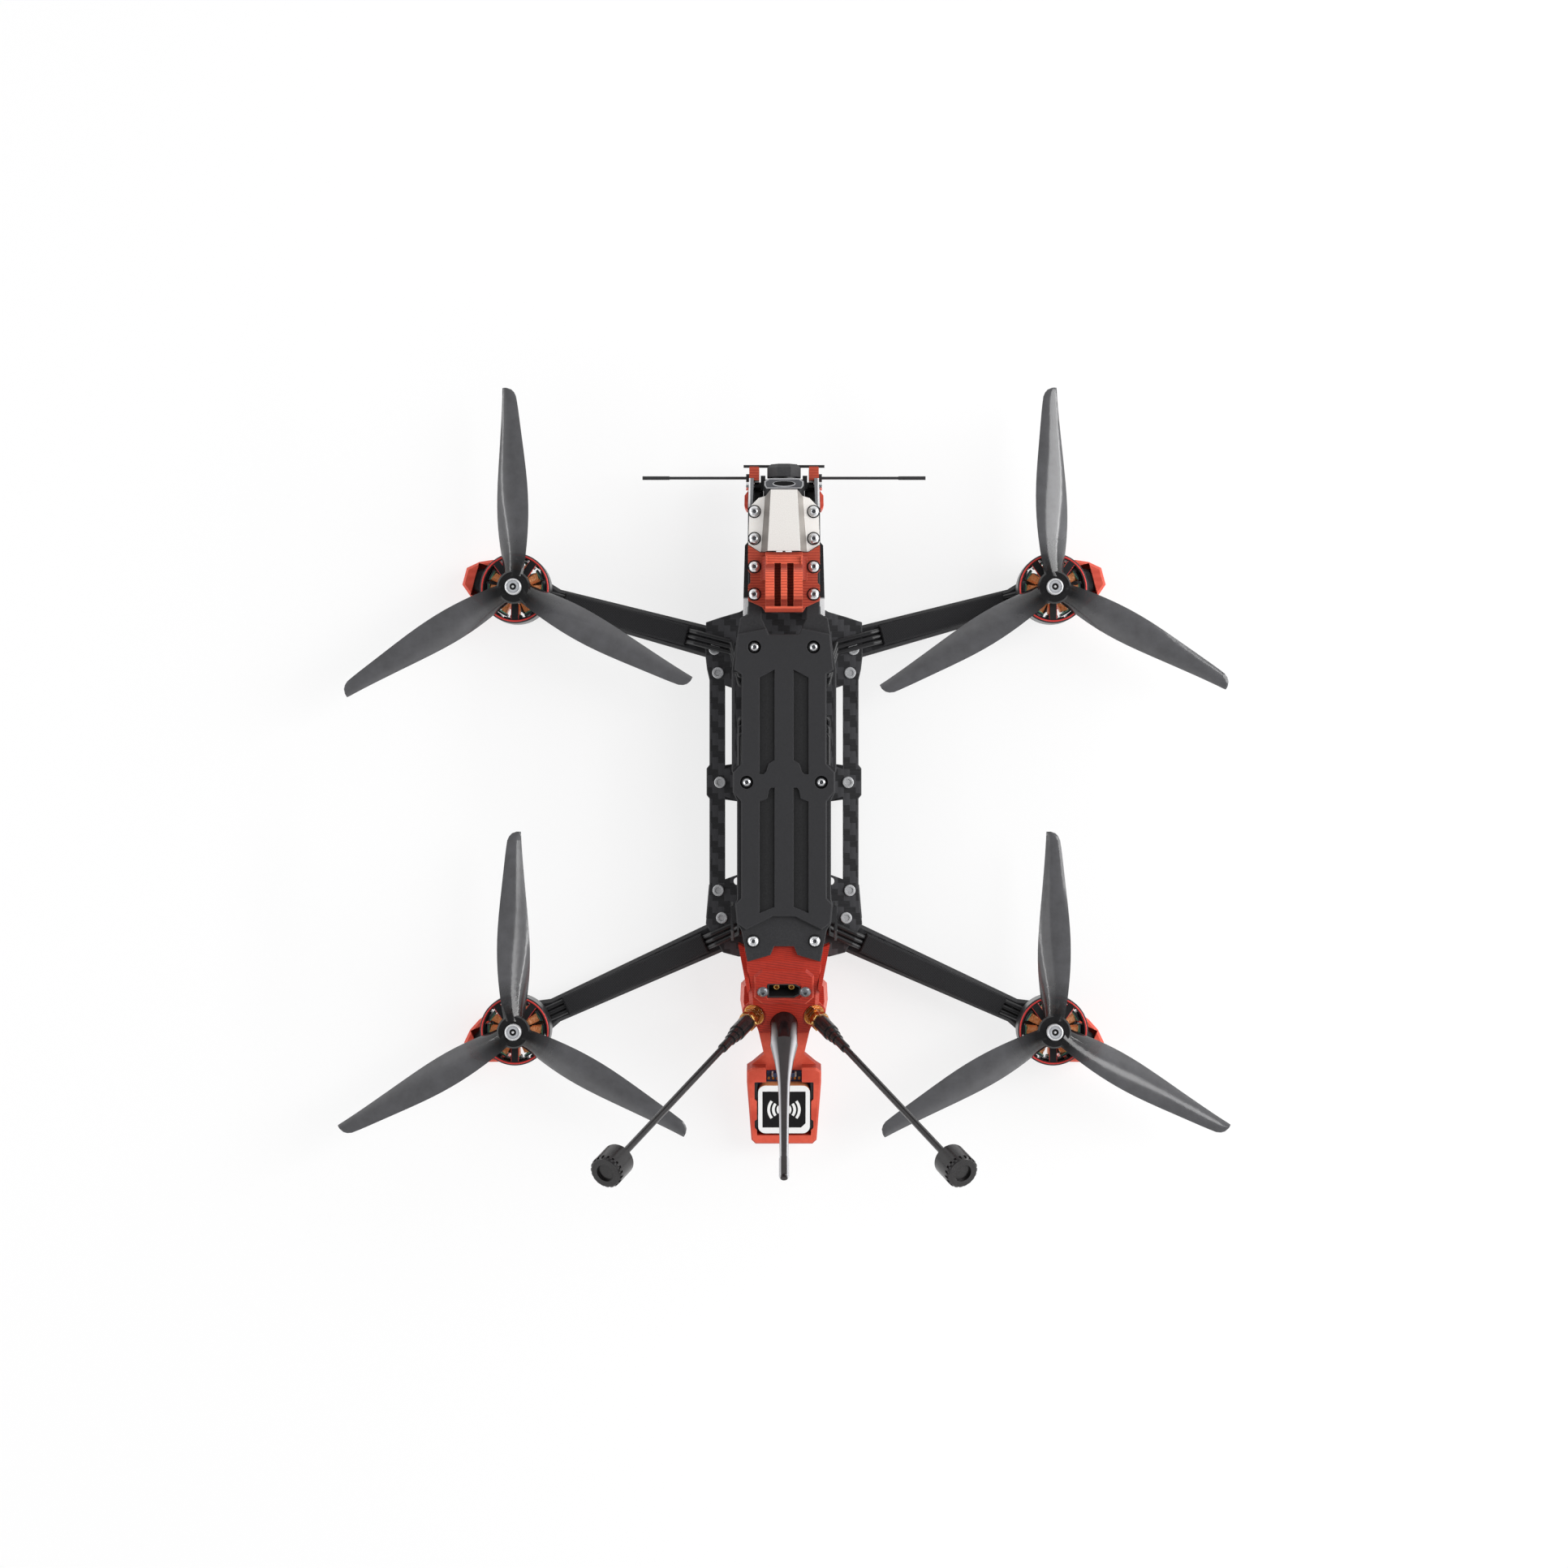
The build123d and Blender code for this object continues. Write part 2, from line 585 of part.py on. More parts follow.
with BuildPart() as nose_cover:
    with BuildSketch(Plane.XZ.offset(135)):
        Polygon(*cover_section(8.8, 6.2), align=None)
    with BuildSketch(Plane.XZ.offset(105)):
        Polygon(*cover_section(11.0, 7.8), align=None)
    loft(ruled=True)
    with BuildSketch(Plane.XY.offset(COVER_Z)):
        Polygon(*mirrored([(0, -134.6), *COVER_OUTLINE]), align=None)
        with Locations(*both([(NOSE_SCREW_X, y) for y in COVER_SCREW_Y])):
            Circle(BOLT_HOLE_R, mode=Mode.SUBTRACT)
    extrude(amount=12, mode=Mode.INTERSECT)
write(nose_cover, "nose_cover")

# Printed action-camera mount: three fingers with two slots, and a cross bore for an M5 screw.
FINGER_Y = -89.5
FINGER_Z = 64.0
FINGER_R = 8.2
FINGER_BORE_R = 2.6
MOUNT_HALF = 8.75
MOUNT_OUTLINE = [
    (0, -105.3), (11.4, -105.3), (17, -108.8), (17, -96.8), (15.9, -95.4), (15.9, -91), (17, -89.8),
    (17, -82.5), (10.4, -79.5), (MOUNT_HALF, -77), (0, -77),
]
MOUNT_BLOCK = [
    (-105.3, COVER_Z), (-105.3, 57), (-103.6, 59), (-99.5, 60), (-97.4, 66), (-81.6, 66), (-79.6, 60),
    (-78.2, 59), (-77, 57), (-77, COVER_Z),
]

with BuildPart() as action_camera_mount:
    with BuildSketch(Plane.XY.offset(COVER_Z)):
        Polygon(*mirrored(MOUNT_OUTLINE), align=None)
    extrude(amount=MOUNT_FLANGE)
    with BuildSketch(Plane.YZ.offset(-MOUNT_HALF)):
        Polygon(*MOUNT_BLOCK, align=None)
        with Locations((FINGER_Y, FINGER_Z)):
            Circle(FINGER_R)
    extrude(amount=2 * MOUNT_HALF)
    for side in (1, -1):
        with BuildSketch(Plane.XZ.offset(103)):
            Polygon(*on_side(side, [(8, 53.5), (11.1, 53.5), (8.6, 61), (8, 61)]), align=None)
        extrude(amount=-11)
    with BuildSketch(Plane.XY.offset(56)):
        with Locations(*both([(3.0, -89.7)])):
            Rectangle(3.0, 20.4)
    extrude(amount=20, mode=Mode.SUBTRACT)
    with BuildSketch(Plane.YZ.offset(-MOUNT_HALF)):
        with Locations((FINGER_Y, FINGER_Z)):
            Circle(FINGER_BORE_R)
    extrude(amount=2 * MOUNT_HALF, mode=Mode.SUBTRACT)
    with BuildSketch(Plane.XY.offset(COVER_Z)):
        with Locations(*both([(NOSE_SCREW_X, y) for y in MOUNT_SCREW_Y])):
            Circle(BOLT_HOLE_R)
    extrude(amount=MOUNT_FLANGE, mode=Mode.SUBTRACT)
write(action_camera_mount, "action_camera_mount")

# Printed clips on the plate tips carry the two receiver antennas.
CLIP = [
    (11.9, -140.6), (11.9, -146.9), (12.2, -147.2), (16.3, -147.2), (16.6, -146.9), (16.6, NOSE_TIP_Y),
    (14.4, NOSE_TIP_Y), (14.4, -140.6),
]
CLIP_Z = (22.0, 41.0)
ROD_R = 0.7
ROD_END_X = 68.0
BAR_END_X = 19.5
FEED_Z = DECK_Z + ROD_R

with BuildPart() as antenna_clips:
    for side in (1, -1):
        with BuildSketch(Plane.XY.offset(CLIP_Z[0])):
            Polygon(*on_side(side, CLIP), align=None)
        extrude(amount=CLIP_Z[1] - CLIP_Z[0])
    with BuildSketch(Plane.YZ.offset(-30)):
        with Locations(LONG_ANTENNA):
            Circle(ROD_R + 0.05)
    extrude(amount=60, mode=Mode.SUBTRACT)
write(antenna_clips, "antenna_clips")

with BuildPart() as receiver_antennas:
    for side in (1, -1):
        rod = [(12.6, ROD_R, ROD_END_X), (16.65, 1.95, 18.2), (ROD_END_X - 13, 0.9, ROD_END_X)]
        for start, radius, end in rod:
            with BuildSketch(Plane(origin=(side * start, *LONG_ANTENNA), z_dir=(side, 0, 0))):
                Circle(radius)
            extrude(amount=end - start)
    with BuildSketch(Plane.YZ.offset(-BAR_END_X)):
        with Locations(SHORT_ANTENNA):
            Circle(ROD_R)
    extrude(amount=2 * BAR_END_X)
    with BuildLine() as feed:
        Polyline((0, *SHORT_ANTENNA), (0, -137.0, FEED_Z), (0, RECEIVER_Y - 11, FEED_Z))
    with BuildSketch(Plane(origin=feed.line @ 0, z_dir=feed.line % 0)):
        Circle(ROD_R)
    sweep(path=feed.line, transition=Transition.ROUND)
write(receiver_antennas, "receiver_antennas")

BUMPER = [(17.0, -135.6), (18.8, -133.2), (18.9, -128.4), (17.9, -126.6), (17.2, -126.6)]
with BuildPart() as nose_bumpers:
    for side in (1, -1):
        with BuildSketch(Plane.XY.offset(25)):
            Polygon(*on_side(side, BUMPER), align=None)
        extrude(amount=18)
write(nose_bumpers, "nose_bumpers")

# ======== camera, which tilts on its two side screws ========
BOSS_R = 2.0
LENS_R = 6.6
CAP_HALF = 8.0

with BuildPart() as camera_housing:
    with Locations((0, (CAMERA_FRONT_Y - 131) / 2, PIVOT_Z)):
        Box(19.4, -131 - CAMERA_FRONT_Y, CAMERA)
    chamfer(camera_housing.edges().filter_by(Axis.Y), 2.2)
    chamfer(camera_housing.faces().sort_by(Axis.Y)[0].edges(), 1.0)
    with Locations((0, (CAMERA_REAR_Y - 131) / 2, PIVOT_Z)):
        Box(16.4, CAMERA_REAR_Y + 131, 16.4)
    with BuildSketch(Plane.XZ.offset(-CAMERA_FRONT_Y)):
        with Locations((0, PIVOT_Z)):
            Circle(LENS_R + 0.6)
            Circle(LENS_R - 0.6, mode=Mode.SUBTRACT)
    extrude(amount=4.0)
    with Locations(*[(side * 10.0, -139.6, PIVOT_Z) for side in (1, -1)]):
        Box(2.2, 6.4, 9.0)
    with BuildSketch(Plane.YZ.offset(-14.2)):
        with Locations((PIVOT_Y, PIVOT_Z)):
            Circle(BOSS_R)
    extrude(amount=28.4)
    with BuildSketch(Plane.YZ.offset(-15)):
        with Locations((PIVOT_Y, PIVOT_Z)):
            Circle(1.0)
    extrude(amount=5.3, mode=Mode.SUBTRACT)
    with BuildSketch(Plane.YZ.offset(15)):
        with Locations((PIVOT_Y, PIVOT_Z)):
            Circle(1.0)
    extrude(amount=-5.3, mode=Mode.SUBTRACT)
write(camera_housing, "camera_housing")

with BuildPart() as camera_lens:
    with BuildSketch(Plane.XZ.offset(-CAMERA_FRONT_Y)):
        with Locations((0, PIVOT_Z)):
            Circle(LENS_R - 0.7)
    extrude(amount=4.4)
    fillet(camera_lens.faces().sort_by(Axis.Y)[0].edges(), 2.4)
write(camera_lens, "camera_lens")

with BuildPart() as camera_cap:
    with BuildSketch(Plane.XZ.offset(142.2)):
        with Locations((0, PIVOT_Z)):
            RegularPolygon(CAP_HALF, 8, major_radius=False, rotation=22.5)
    extrude(amount=6.2)
    chamfer(camera_cap.faces().sort_by(Axis.Y)[0].edges(), 1.8)
    with BuildSketch(Plane.XZ.offset(142.2)):
        with Locations((0, PIVOT_Z)):
            Circle(LENS_R + 0.6)
    extrude(amount=4.2, mode=Mode.SUBTRACT)
write(camera_cap, "camera_cap")

with BuildPart() as camera_screws:
    for side in (1, -1):
        with BuildSketch(Plane(origin=(side * 9.8, PIVOT_Y, PIVOT_Z), z_dir=(side, 0, 0))):
            Circle(1.0)
        extrude(amount=7.3)
        with BuildSketch(Plane(origin=(side * 16.95, PIVOT_Y, PIVOT_Z), z_dir=(side, 0, 0))):
            Circle(1.9)
        extrude(amount=1.2)
        with BuildSketch(Plane(origin=(side * 18.15, PIVOT_Y, PIVOT_Z), z_dir=(side, 0, 0))):
            RegularPolygon(0.85, 6)
        extrude(amount=-0.7, mode=Mode.SUBTRACT)
write(camera_screws, "camera_screws")

# ======== tail ========
SLOPE = tan(radians(DECK_TILT))
CREST_Y = 88.7
PORT_Z = TOP_Z - (PORT_Y - CREST_Y) * SLOPE
port_axis = Vector(0, sin(radians(DECK_TILT)), cos(radians(DECK_TILT)))
port_plane = Plane(origin=(0, PORT_Y, PORT_Z), x_dir=(1, 0, 0), z_dir=port_axis)
HOUSING_PLAN = [
    (0, 74.5), (18.6, 74.5), (18.6, 84), (17.6, 90), (16.6, 110.2), (12.1, 123.5), (0, 123.5),
]
PORT_END_Y = 110.2
HOUSING_SIDE = [
    (74.5, DECK_Z), (74.5, TOP_Z), (CREST_Y, TOP_Z), (PORT_END_Y, TOP_Z - (PORT_END_Y - CREST_Y) * SLOPE),
    (123.5, 31.0), (123.5, 12.0),
    (89.0, 12.0), (89.0, DECK_Z),
]
BULGE_PLAN = [(0, 96), (16, 96), (20.9, 101), (21.3, 109), (19.9, 117), (12.1, 123.5), (0, 123.5)]
WING_PLAN = [(21.9, 80.6), (18.2, 82.4), (16.2, 102), (17.4, 104)]
PORT_CHAMFER = [(-8.1, -2.2), (-8.1, 2.2), (-5.0, 4.15), (8.1, 4.15), (8.1, -4.15), (-5.0, -4.15)]


def side_antenna_axis(side):
    """Direction of a side antenna: outward, rearward and up."""
    rise = radians(SIDE_ANTENNA_RISE)
    out, back = SIDE_ANTENNA_PLAN
    plan = Vector(side * out, back, 0).normalized()
    return plan * cos(rise) + Vector(0, 0, sin(rise))


def side_antenna_plane(side, along):
    """Plane across a side antenna at a distance along it from its base."""
    x, y, z = SIDE_ANTENNA_BASE
    axis = side_antenna_axis(side)
    return Plane(origin=Vector(side * x, y, z) + axis * along, x_dir=Vector(0, 0, 1).cross(axis), z_dir=axis)


whip_axis = Vector(0, cos(radians(WHIP_RISE)), sin(radians(WHIP_RISE)))


def whip_plane(along):
    """Plane across the whip antenna at a distance along it from its base."""
    return Plane(origin=Vector(WHIP_BASE) + whip_axis * along, x_dir=(1, 0, 0), z_dir=whip_axis)


with BuildPart() as tail_housing:
    with BuildSketch(Plane.XY.offset(10)):
        Polygon(*mirrored(HOUSING_PLAN), align=None)
    extrude(amount=42)
    with BuildSketch(Plane.YZ.offset(-30)):
        Polygon(*HOUSING_SIDE, align=None)
    extrude(amount=60, mode=Mode.INTERSECT)
    brow = tail_housing.edges().filter_by(lambda edge: edge.center().Y > 89.5 and edge.center().Z > 35)
    chamfer(brow.filter_by(lambda edge: abs(edge.center().X) > 12), 1.8)
    with BuildSketch(Plane.XY.offset(12)):
        Polygon(*mirrored(BULGE_PLAN), align=None)
    extrude(amount=18, taper=6)
    for side in (1, -1):
        with BuildSketch(Plane.XY.offset(21.6)):
            Polygon(*on_side(side, WING_PLAN), align=None)
        extrude(amount=22)
    for side in (1, -1):
        with BuildSketch(side_antenna_plane(side, 0)):
            Circle(6.2)
        extrude(amount=-9)
        with BuildSketch(side_antenna_plane(side, 0)):
            Circle(6.2)
        extrude(amount=14, mode=Mode.SUBTRACT)
        with BuildSketch(side_antenna_plane(side, 0)):
            Circle(3.2)
        extrude(amount=-6.5, mode=Mode.SUBTRACT)
    with BuildSketch(whip_plane(-6)):
        Circle(6.6)
    extrude(amount=30, mode=Mode.SUBTRACT)
    with BuildSketch(Plane.XZ.offset(-74)):
        with Locations((0, 31)):
            Rectangle(24, 20)
    extrude(amount=-23, mode=Mode.SUBTRACT)
    with BuildSketch(port_plane):
        Polygon(*PORT_CHAMFER, align=None)
        with Locations((PORT_SCREW_X, 0), (-PORT_SCREW_X, 0)):
            Circle(TAP_R)
    extrude(amount=-14, mode=Mode.SUBTRACT)
    with BuildSketch(Plane.XY.offset(DECK_Z)):
        with Locations(*both([DECK_SCREWS[2]])):
            Circle(2.7)
    extrude(amount=STANDOFF, mode=Mode.SUBTRACT)
write(tail_housing, "tail_housing")

with BuildPart() as power_connector:
    with BuildSketch(port_plane):
        Polygon(*PORT_CHAMFER, align=None)
        offset(amount=-0.05)
    extrude(amount=-14)
    with BuildSketch(port_plane):
        Polygon(*PORT_CHAMFER, align=None)
        offset(amount=-0.9)
    extrude(amount=-8, mode=Mode.SUBTRACT)
write(power_connector, "power_connector")

with BuildPart() as power_pins:
    with BuildSketch(port_plane.offset(-8)):
        with Locations((PORT_PIN_X, 0), (-PORT_PIN_X, 0)):
            Circle(1.75)
    extrude(amount=5)
    chamfer(power_pins.faces().sort_by(Axis.Z)[-2:].edges(), 0.4)
    with BuildSketch(port_plane):
        with Locations((PORT_PIN_X, 0), (-PORT_PIN_X, 0)):
            Circle(0.9)
    extrude(amount=-5, mode=Mode.SUBTRACT)
write(power_pins, "power_pins")

# GPS tray, sloping down to the rear, with its board and patch antenna in a pocket.
gps_slope = radians(GPS_TILT)
gps_normal = Vector(0, sin(gps_slope), cos(gps_slope))
gps_plane = Plane(origin=(0, GPS_Y, GPS_Z), x_dir=(1, 0, 0), z_dir=gps_normal)
TRAY_PLAN = [
    (0, -37.9), (12.1, -37.9), (9.7, -26.7), (15.4, -21.6), (17.9, -19.9), (17.9, -14.1), (15.8, 16.1),
    (13.8, 18.2), (0, 18.2),
]
TRAY_FLOOR = 4.0
TRAY_TALL = 9.5
TRAY_RELIEF_FRONT = [(12.0, -14.3), (14.2, -14.3), (14.2, -5.4), (12.9, -4.1)]
TRAY_RELIEF_REAR = [(12.9, 4.9), (14.2, 5.9), (14.2, 9.6), (11.4, 13.0)]
PATCH = 25.0
PATCH_THICK = 5.0
BOARD_THICK = 1.2

with BuildPart() as gps_tray:
    with BuildSketch(gps_plane):
        Polygon(*mirrored(TRAY_PLAN), align=None)
    extrude(amount=TRAY_FLOOR)
    with BuildSketch(gps_plane):
        Polygon(*mirrored([(0, -21.6), *TRAY_PLAN[3:]]), align=None)
    extrude(amount=TRAY_TALL)
    chamfer(gps_tray.faces().sort_by(Axis(origin=(0, GPS_Y, 0), direction=gps_normal))[-1].edges(), 0.8)
    with BuildSketch(gps_plane.offset(TRAY_FLOOR - 1)):
        Rectangle(26.2, 27.0)
        Polygon(*mirrored(TRAY_RELIEF_FRONT), align=None)
        Polygon(*mirrored(TRAY_RELIEF_REAR), align=None)
        with Locations((0, -15.2)):
            Rectangle(17.2, 6.4)
    extrude(amount=TRAY_TALL, mode=Mode.SUBTRACT)
    with BuildSketch(gps_plane.offset(TRAY_FLOOR)):
        with Locations((0, -20.5)):
            Rectangle(17.2, 8.0)
    extrude(amount=TRAY_TALL, mode=Mode.SUBTRACT)
    with BuildSketch(Plane.XZ.offset(-123.5)):
        Rectangle(80, 80)
    extrude(amount=30, mode=Mode.SUBTRACT)
    with BuildSketch(whip_plane(-6)):
        Circle(6.8)
    extrude(amount=30, mode=Mode.SUBTRACT)
write(gps_tray, "gps_tray")

with BuildPart() as gps_board:
    with BuildSketch(gps_plane.offset(TRAY_FLOOR - 1)):
        Rectangle(25.6, 26.4)
        with Locations((0, -15.2)):
            Rectangle(16.6, 5.8)
    extrude(amount=BOARD_THICK)
    with BuildSketch(gps_plane.offset(TRAY_FLOOR - 1 + BOARD_THICK)):
        with Locations((0, -16.9)):
            Rectangle(10.4, 2.0)
    extrude(amount=2.6)
write(gps_board, "gps_board")

with BuildPart() as gps_patch:
    with BuildSketch(gps_plane.offset(TRAY_FLOOR - 1 + BOARD_THICK)):
        RectangleRounded(PATCH, PATCH, 3.8)
    extrude(amount=PATCH_THICK)
write(gps_patch, "gps_patch")

# ======== antennas ========
with BuildPart() as antenna_sockets:
    for side in (1, -1):
        with BuildSketch(side_antenna_plane(side, -6)):
            Circle(3.1)
        extrude(amount=11.5)
        with BuildSketch(side_antenna_plane(side, 0)):
            Circle(5.2)
        extrude(amount=0.7)
        with BuildSketch(side_antenna_plane(side, 0.7)):
            RegularPolygon(4.0, 6, major_radius=False)
        extrude(amount=2.2)
        with BuildSketch(side_antenna_plane(side, 5.5)):
            RegularPolygon(4.0, 6, major_radius=False)
        extrude(amount=4.0)
write(antenna_sockets, "antenna_sockets")

STEM_STEPS = [
    (9.5, 3.9, 21.0),
    (21.0, 3.25, 25.0),
    (25.0, 2.75, 29.0),
    (29.0, 2.25, 38.0),
    (38.0, 1.6, 151.0),
]
HEAD_START = 151.0
HEAD_TALL = 14.0
HEAD_R = 7.5
HEAD_TEETH = 20

for side, label in ((1, "left"), (-1, "right")):
    with BuildPart() as antenna_stem:
        for start, radius, end in STEM_STEPS:
            with BuildSketch(side_antenna_plane(side, start)):
                Circle(radius)
            extrude(amount=end - start)
    write(antenna_stem, f"antenna_stem_{label}")
    with BuildPart() as antenna_head:
        with BuildSketch(side_antenna_plane(side, HEAD_START)):
            Circle(HEAD_R)
        extrude(amount=HEAD_TALL)
        chamfer(antenna_head.edges(), 0.9)
        with BuildSketch(side_antenna_plane(side, HEAD_START + HEAD_TALL)):
            Circle(4.1)
        extrude(amount=-1.4, mode=Mode.SUBTRACT)
        with BuildSketch(side_antenna_plane(side, HEAD_START + HEAD_TALL)):
            with PolarLocations(HEAD_R, HEAD_TEETH):
                Rectangle(1.2, 1.1)
        extrude(amount=-2.4, mode=Mode.SUBTRACT)
    write(antenna_head, f"antenna_head_{label}")

WHIP_RINGS = [(-6, 6.5), (13.9, 6.5), (24, 4.6), (34, 3.3), (41.3, 2.75), (60, 2.3), (85.5, 2.0)]
with BuildPart() as whip_antenna:
    for (start, near), (end, far) in zip(WHIP_RINGS, WHIP_RINGS[1:]):
        with BuildSketch(whip_plane(start)):
            Circle(near)
        if near == far:
            extrude(amount=end - start)
        else:
            with BuildSketch(whip_plane(end)):
                Circle(far)
            loft()
    with BuildSketch(whip_plane(85.5)):
        Circle(2.3)
    extrude(amount=12.1)
    fillet(whip_antenna.faces().sort_by(Axis.Z)[-1].edges(), 1.6)
write(whip_antenna, "whip_antenna")

# ======== side covers ========
with BuildPart() as rear_side_covers:
    for side in (1, -1):
        with BuildSketch(Plane.YZ.offset(side * 24.0)):
            Polygon((62, 28), (77, 28), (79, 31), (79, 42), (74, TOP_Z), (62, TOP_Z), (60.5, 44), align=None)
        extrude(amount=side * 1.2)
        with BuildSketch(Plane.XY.offset(TOP_Z)):
            Polygon(*on_side(side, [(19.4, 62.5), (24.6, 62.5), (24.6, 70), (19.4, 70)]), align=None)
        extrude(amount=-1.6)
write(rear_side_covers, "rear_side_covers")

# ======== fasteners ========
HEAD_SCREW_R = 2.75
HEAD_SCREW_TALL = 1.65


def screw(plane, length):
    """Button-head screw whose head sits on the plane and whose shank runs back through it."""
    with BuildPart() as body:
        with BuildSketch(plane):
            Circle(HEAD_SCREW_R)
        extrude(amount=HEAD_SCREW_TALL)
        top = plane.offset(HEAD_SCREW_TALL)
        chamfer(body.faces().sort_by(Axis(origin=plane.origin, direction=plane.z_dir))[-1].edges(), 0.7)
        with BuildSketch(top):
            RegularPolygon(1.15, 6)
        extrude(amount=-1.1, mode=Mode.SUBTRACT)
        with BuildSketch(plane):
            Circle(BOLT_R)
        extrude(amount=-length)
    return body.part


def upward(x, y, z):
    """Plane facing up at a point."""
    return Plane(origin=(x, y, z), z_dir=(0, 0, 1))


def downward(x, y, z):
    """Plane facing down at a point."""
    return Plane(origin=(x, y, z), z_dir=(0, 0, -1))


case_points = [(p, PAD_Z, 9.0) for p in both(DECK_SCREWS)]
cover_screws = both([(NOSE_SCREW_X, y) for y in COVER_SCREW_Y])
mount_screws = both([(NOSE_SCREW_X, y) for y in MOUNT_SCREW_Y])
case_points += [(p, COVER_Z + COVER_THICK, 6.5) for p in cover_screws]
case_points += [(p, COVER_Z + MOUNT_FLANGE, 8.2) for p in mount_screws]
case_parts = [screw(upward(x, y, z), length) for (x, y), z, length in case_points]
for side in (1, -1):
    seat = Plane(origin=port_plane.from_local_coords((side * PORT_SCREW_X, 0, 0)), z_dir=port_axis)
    case_parts.append(screw(seat, 8.0))
with BuildPart() as case_screws:
    add(case_parts)
write(case_screws, "case_screws")

lower_points = [((x, y), BOTTOM_Z, DECK_Z + 0.8 - BOTTOM_Z) for x, y in both(FRAME_BOLTS)]
lower_points += [((x, y), MID_Z, PLATE + 6.0) for x, y in both(DECK_SCREWS)]
lower_points += [((x, y), MID_Z, PLATE + 2.6) for x, y in both(NOSE_BOLTS)]
for side, motor_y in corners:
    arm_axes = arm_plane(side, motor_y, ARM_Z)
    for u in (MOTOR_SCREW, -MOTOR_SCREW):
        for v in (MOTOR_SCREW, -MOTOR_SCREW):
            spot = arm_axes.from_local_coords((u, v, 0))
            lower_points.append(((spot.X, spot.Y), ARM_Z, ARM_THICK + 2.2))
with BuildPart() as frame_bolts:
    add([screw(downward(x, y, z), length) for (x, y), z, length in lower_points])
write(frame_bolts, "frame_bolts")

with BuildPart() as press_nuts:
    with BuildSketch(Plane.XY.offset(DECK_Z)):
        with Locations(*both(FRAME_BOLTS)):
            Circle(HEAD_SCREW_R)
    extrude(amount=1.1)
    chamfer(press_nuts.edges().group_by(Axis.Z)[-1], 0.3)
    with BuildSketch(Plane.XY.offset(DECK_Z)):
        with Locations(*both(FRAME_BOLTS)):
            Circle(TAP_R)
    extrude(amount=1.1, mode=Mode.SUBTRACT)
write(press_nuts, "press_nuts")

with BuildPart() as standoffs:
    with BuildSketch(Plane.XY.offset(DECK_Z)):
        with Locations(*both(DECK_SCREWS)):
            Circle(2.5)
    extrude(amount=STANDOFF)
    with BuildSketch(Plane.XY.offset(ARM_Z)):
        with Locations(*both([FRAME_BOLTS[2]])):
            Circle(3.2)
    extrude(amount=ARM_THICK)
    with BuildSketch(Plane.XY.offset(ARM_Z)):
        with Locations(*both(DECK_SCREWS + [FRAME_BOLTS[2]])):
            Circle(BOLT_HOLE_R)
    extrude(amount=TOP_Z - ARM_Z, mode=Mode.SUBTRACT)
write(standoffs, "standoffs")

# ======== electronics ========
ESC_Z = DECK_Z + 5.0
FC_Z = ESC_Z + 9.0
BOARD = 1.6
ESC_HALF = (18.0, 21.0)


def board_part(half_x, half_y, y, z, chips):
    """Circuit board on the stack's bolts, with blocks for its chips."""
    with BuildPart() as board:
        with BuildSketch(Plane.XY.offset(z)):
            with Locations((0, y)):
                RectangleRounded(2 * half_x, 2 * half_y, 2.0)
            with Locations(*both(STACK_BOLTS)):
                Circle(2.0, mode=Mode.SUBTRACT)
        extrude(amount=BOARD)
        for px, py, wide, long, tall in chips:
            with Locations((px, y + py, z + BOARD)):
                Box(wide, long, tall, align=STAND)
    return board.part


esc_chips = [(side * 9.5, row * 9.0, 5.0, 6.0, 1.2) for side in (1, -1) for row in (-1, 0, 1)]
fc_chips = [(0, 0, 7, 7, 1.0), (8, 6, 4, 4, 1.2), (-8, -6, 5, 3, 1.0), (0, 13.5, 9, 6, 3.2)]
with BuildPart() as speed_controller:
    add(board_part(*ESC_HALF, STACK_Y, ESC_Z, esc_chips))
write(speed_controller, "speed_controller")

with BuildPart() as flight_controller:
    add(board_part(18.0, 18.0, STACK_Y, FC_Z, fc_chips))
write(flight_controller, "flight_controller")

with BuildPart() as stack_bolts:
    for low, high, radius in ((MID_Z - 1.6, MID_Z, 2.75), (MID_Z, FC_Z + 5, BOLT_R), (DECK_Z, ESC_Z, 2.6),
                              (ESC_Z + BOARD, FC_Z, 2.6), (FC_Z + BOARD, FC_Z + BOARD + 2.4, 2.75)):
        with BuildSketch(Plane.XY.offset(low)):
            with Locations(*both(STACK_BOLTS)):
                Circle(radius)
        extrude(amount=high - low)
write(stack_bolts, "stack_bolts")

VTX_Y = 40.0
with BuildPart() as video_transmitter:
    with Locations((0, VTX_Y, DECK_Z)):
        Box(30, 34, 12, align=STAND)
    chamfer(video_transmitter.edges().filter_by(Axis.Z), 2.0)
    with BuildSketch(Plane.XY.offset(DECK_Z + 12)):
        with GridLocations(3.6, 0, 7, 1):
            with Locations((0, VTX_Y)):
                Rectangle(1.6, 28)
    extrude(amount=-3.5, mode=Mode.SUBTRACT)
write(video_transmitter, "video_transmitter")

with BuildPart() as radio_receiver:
    with Locations((0, RECEIVER_Y, DECK_Z)):
        Box(14, 22, 1.4, align=STAND)
    with Locations((0, RECEIVER_Y, DECK_Z + 1.4)):
        Box(9, 12, 1.8, align=STAND)
write(radio_receiver, "radio_receiver")

with BuildPart() as power_capacitor:
    with BuildSketch(Plane.YZ.offset(-14)):
        with Locations((66, DECK_Z + 6.3)):
            Circle(6.25)
    extrude(amount=28)
    chamfer(power_capacitor.edges(), 0.6)
write(power_capacitor, "power_capacitor")

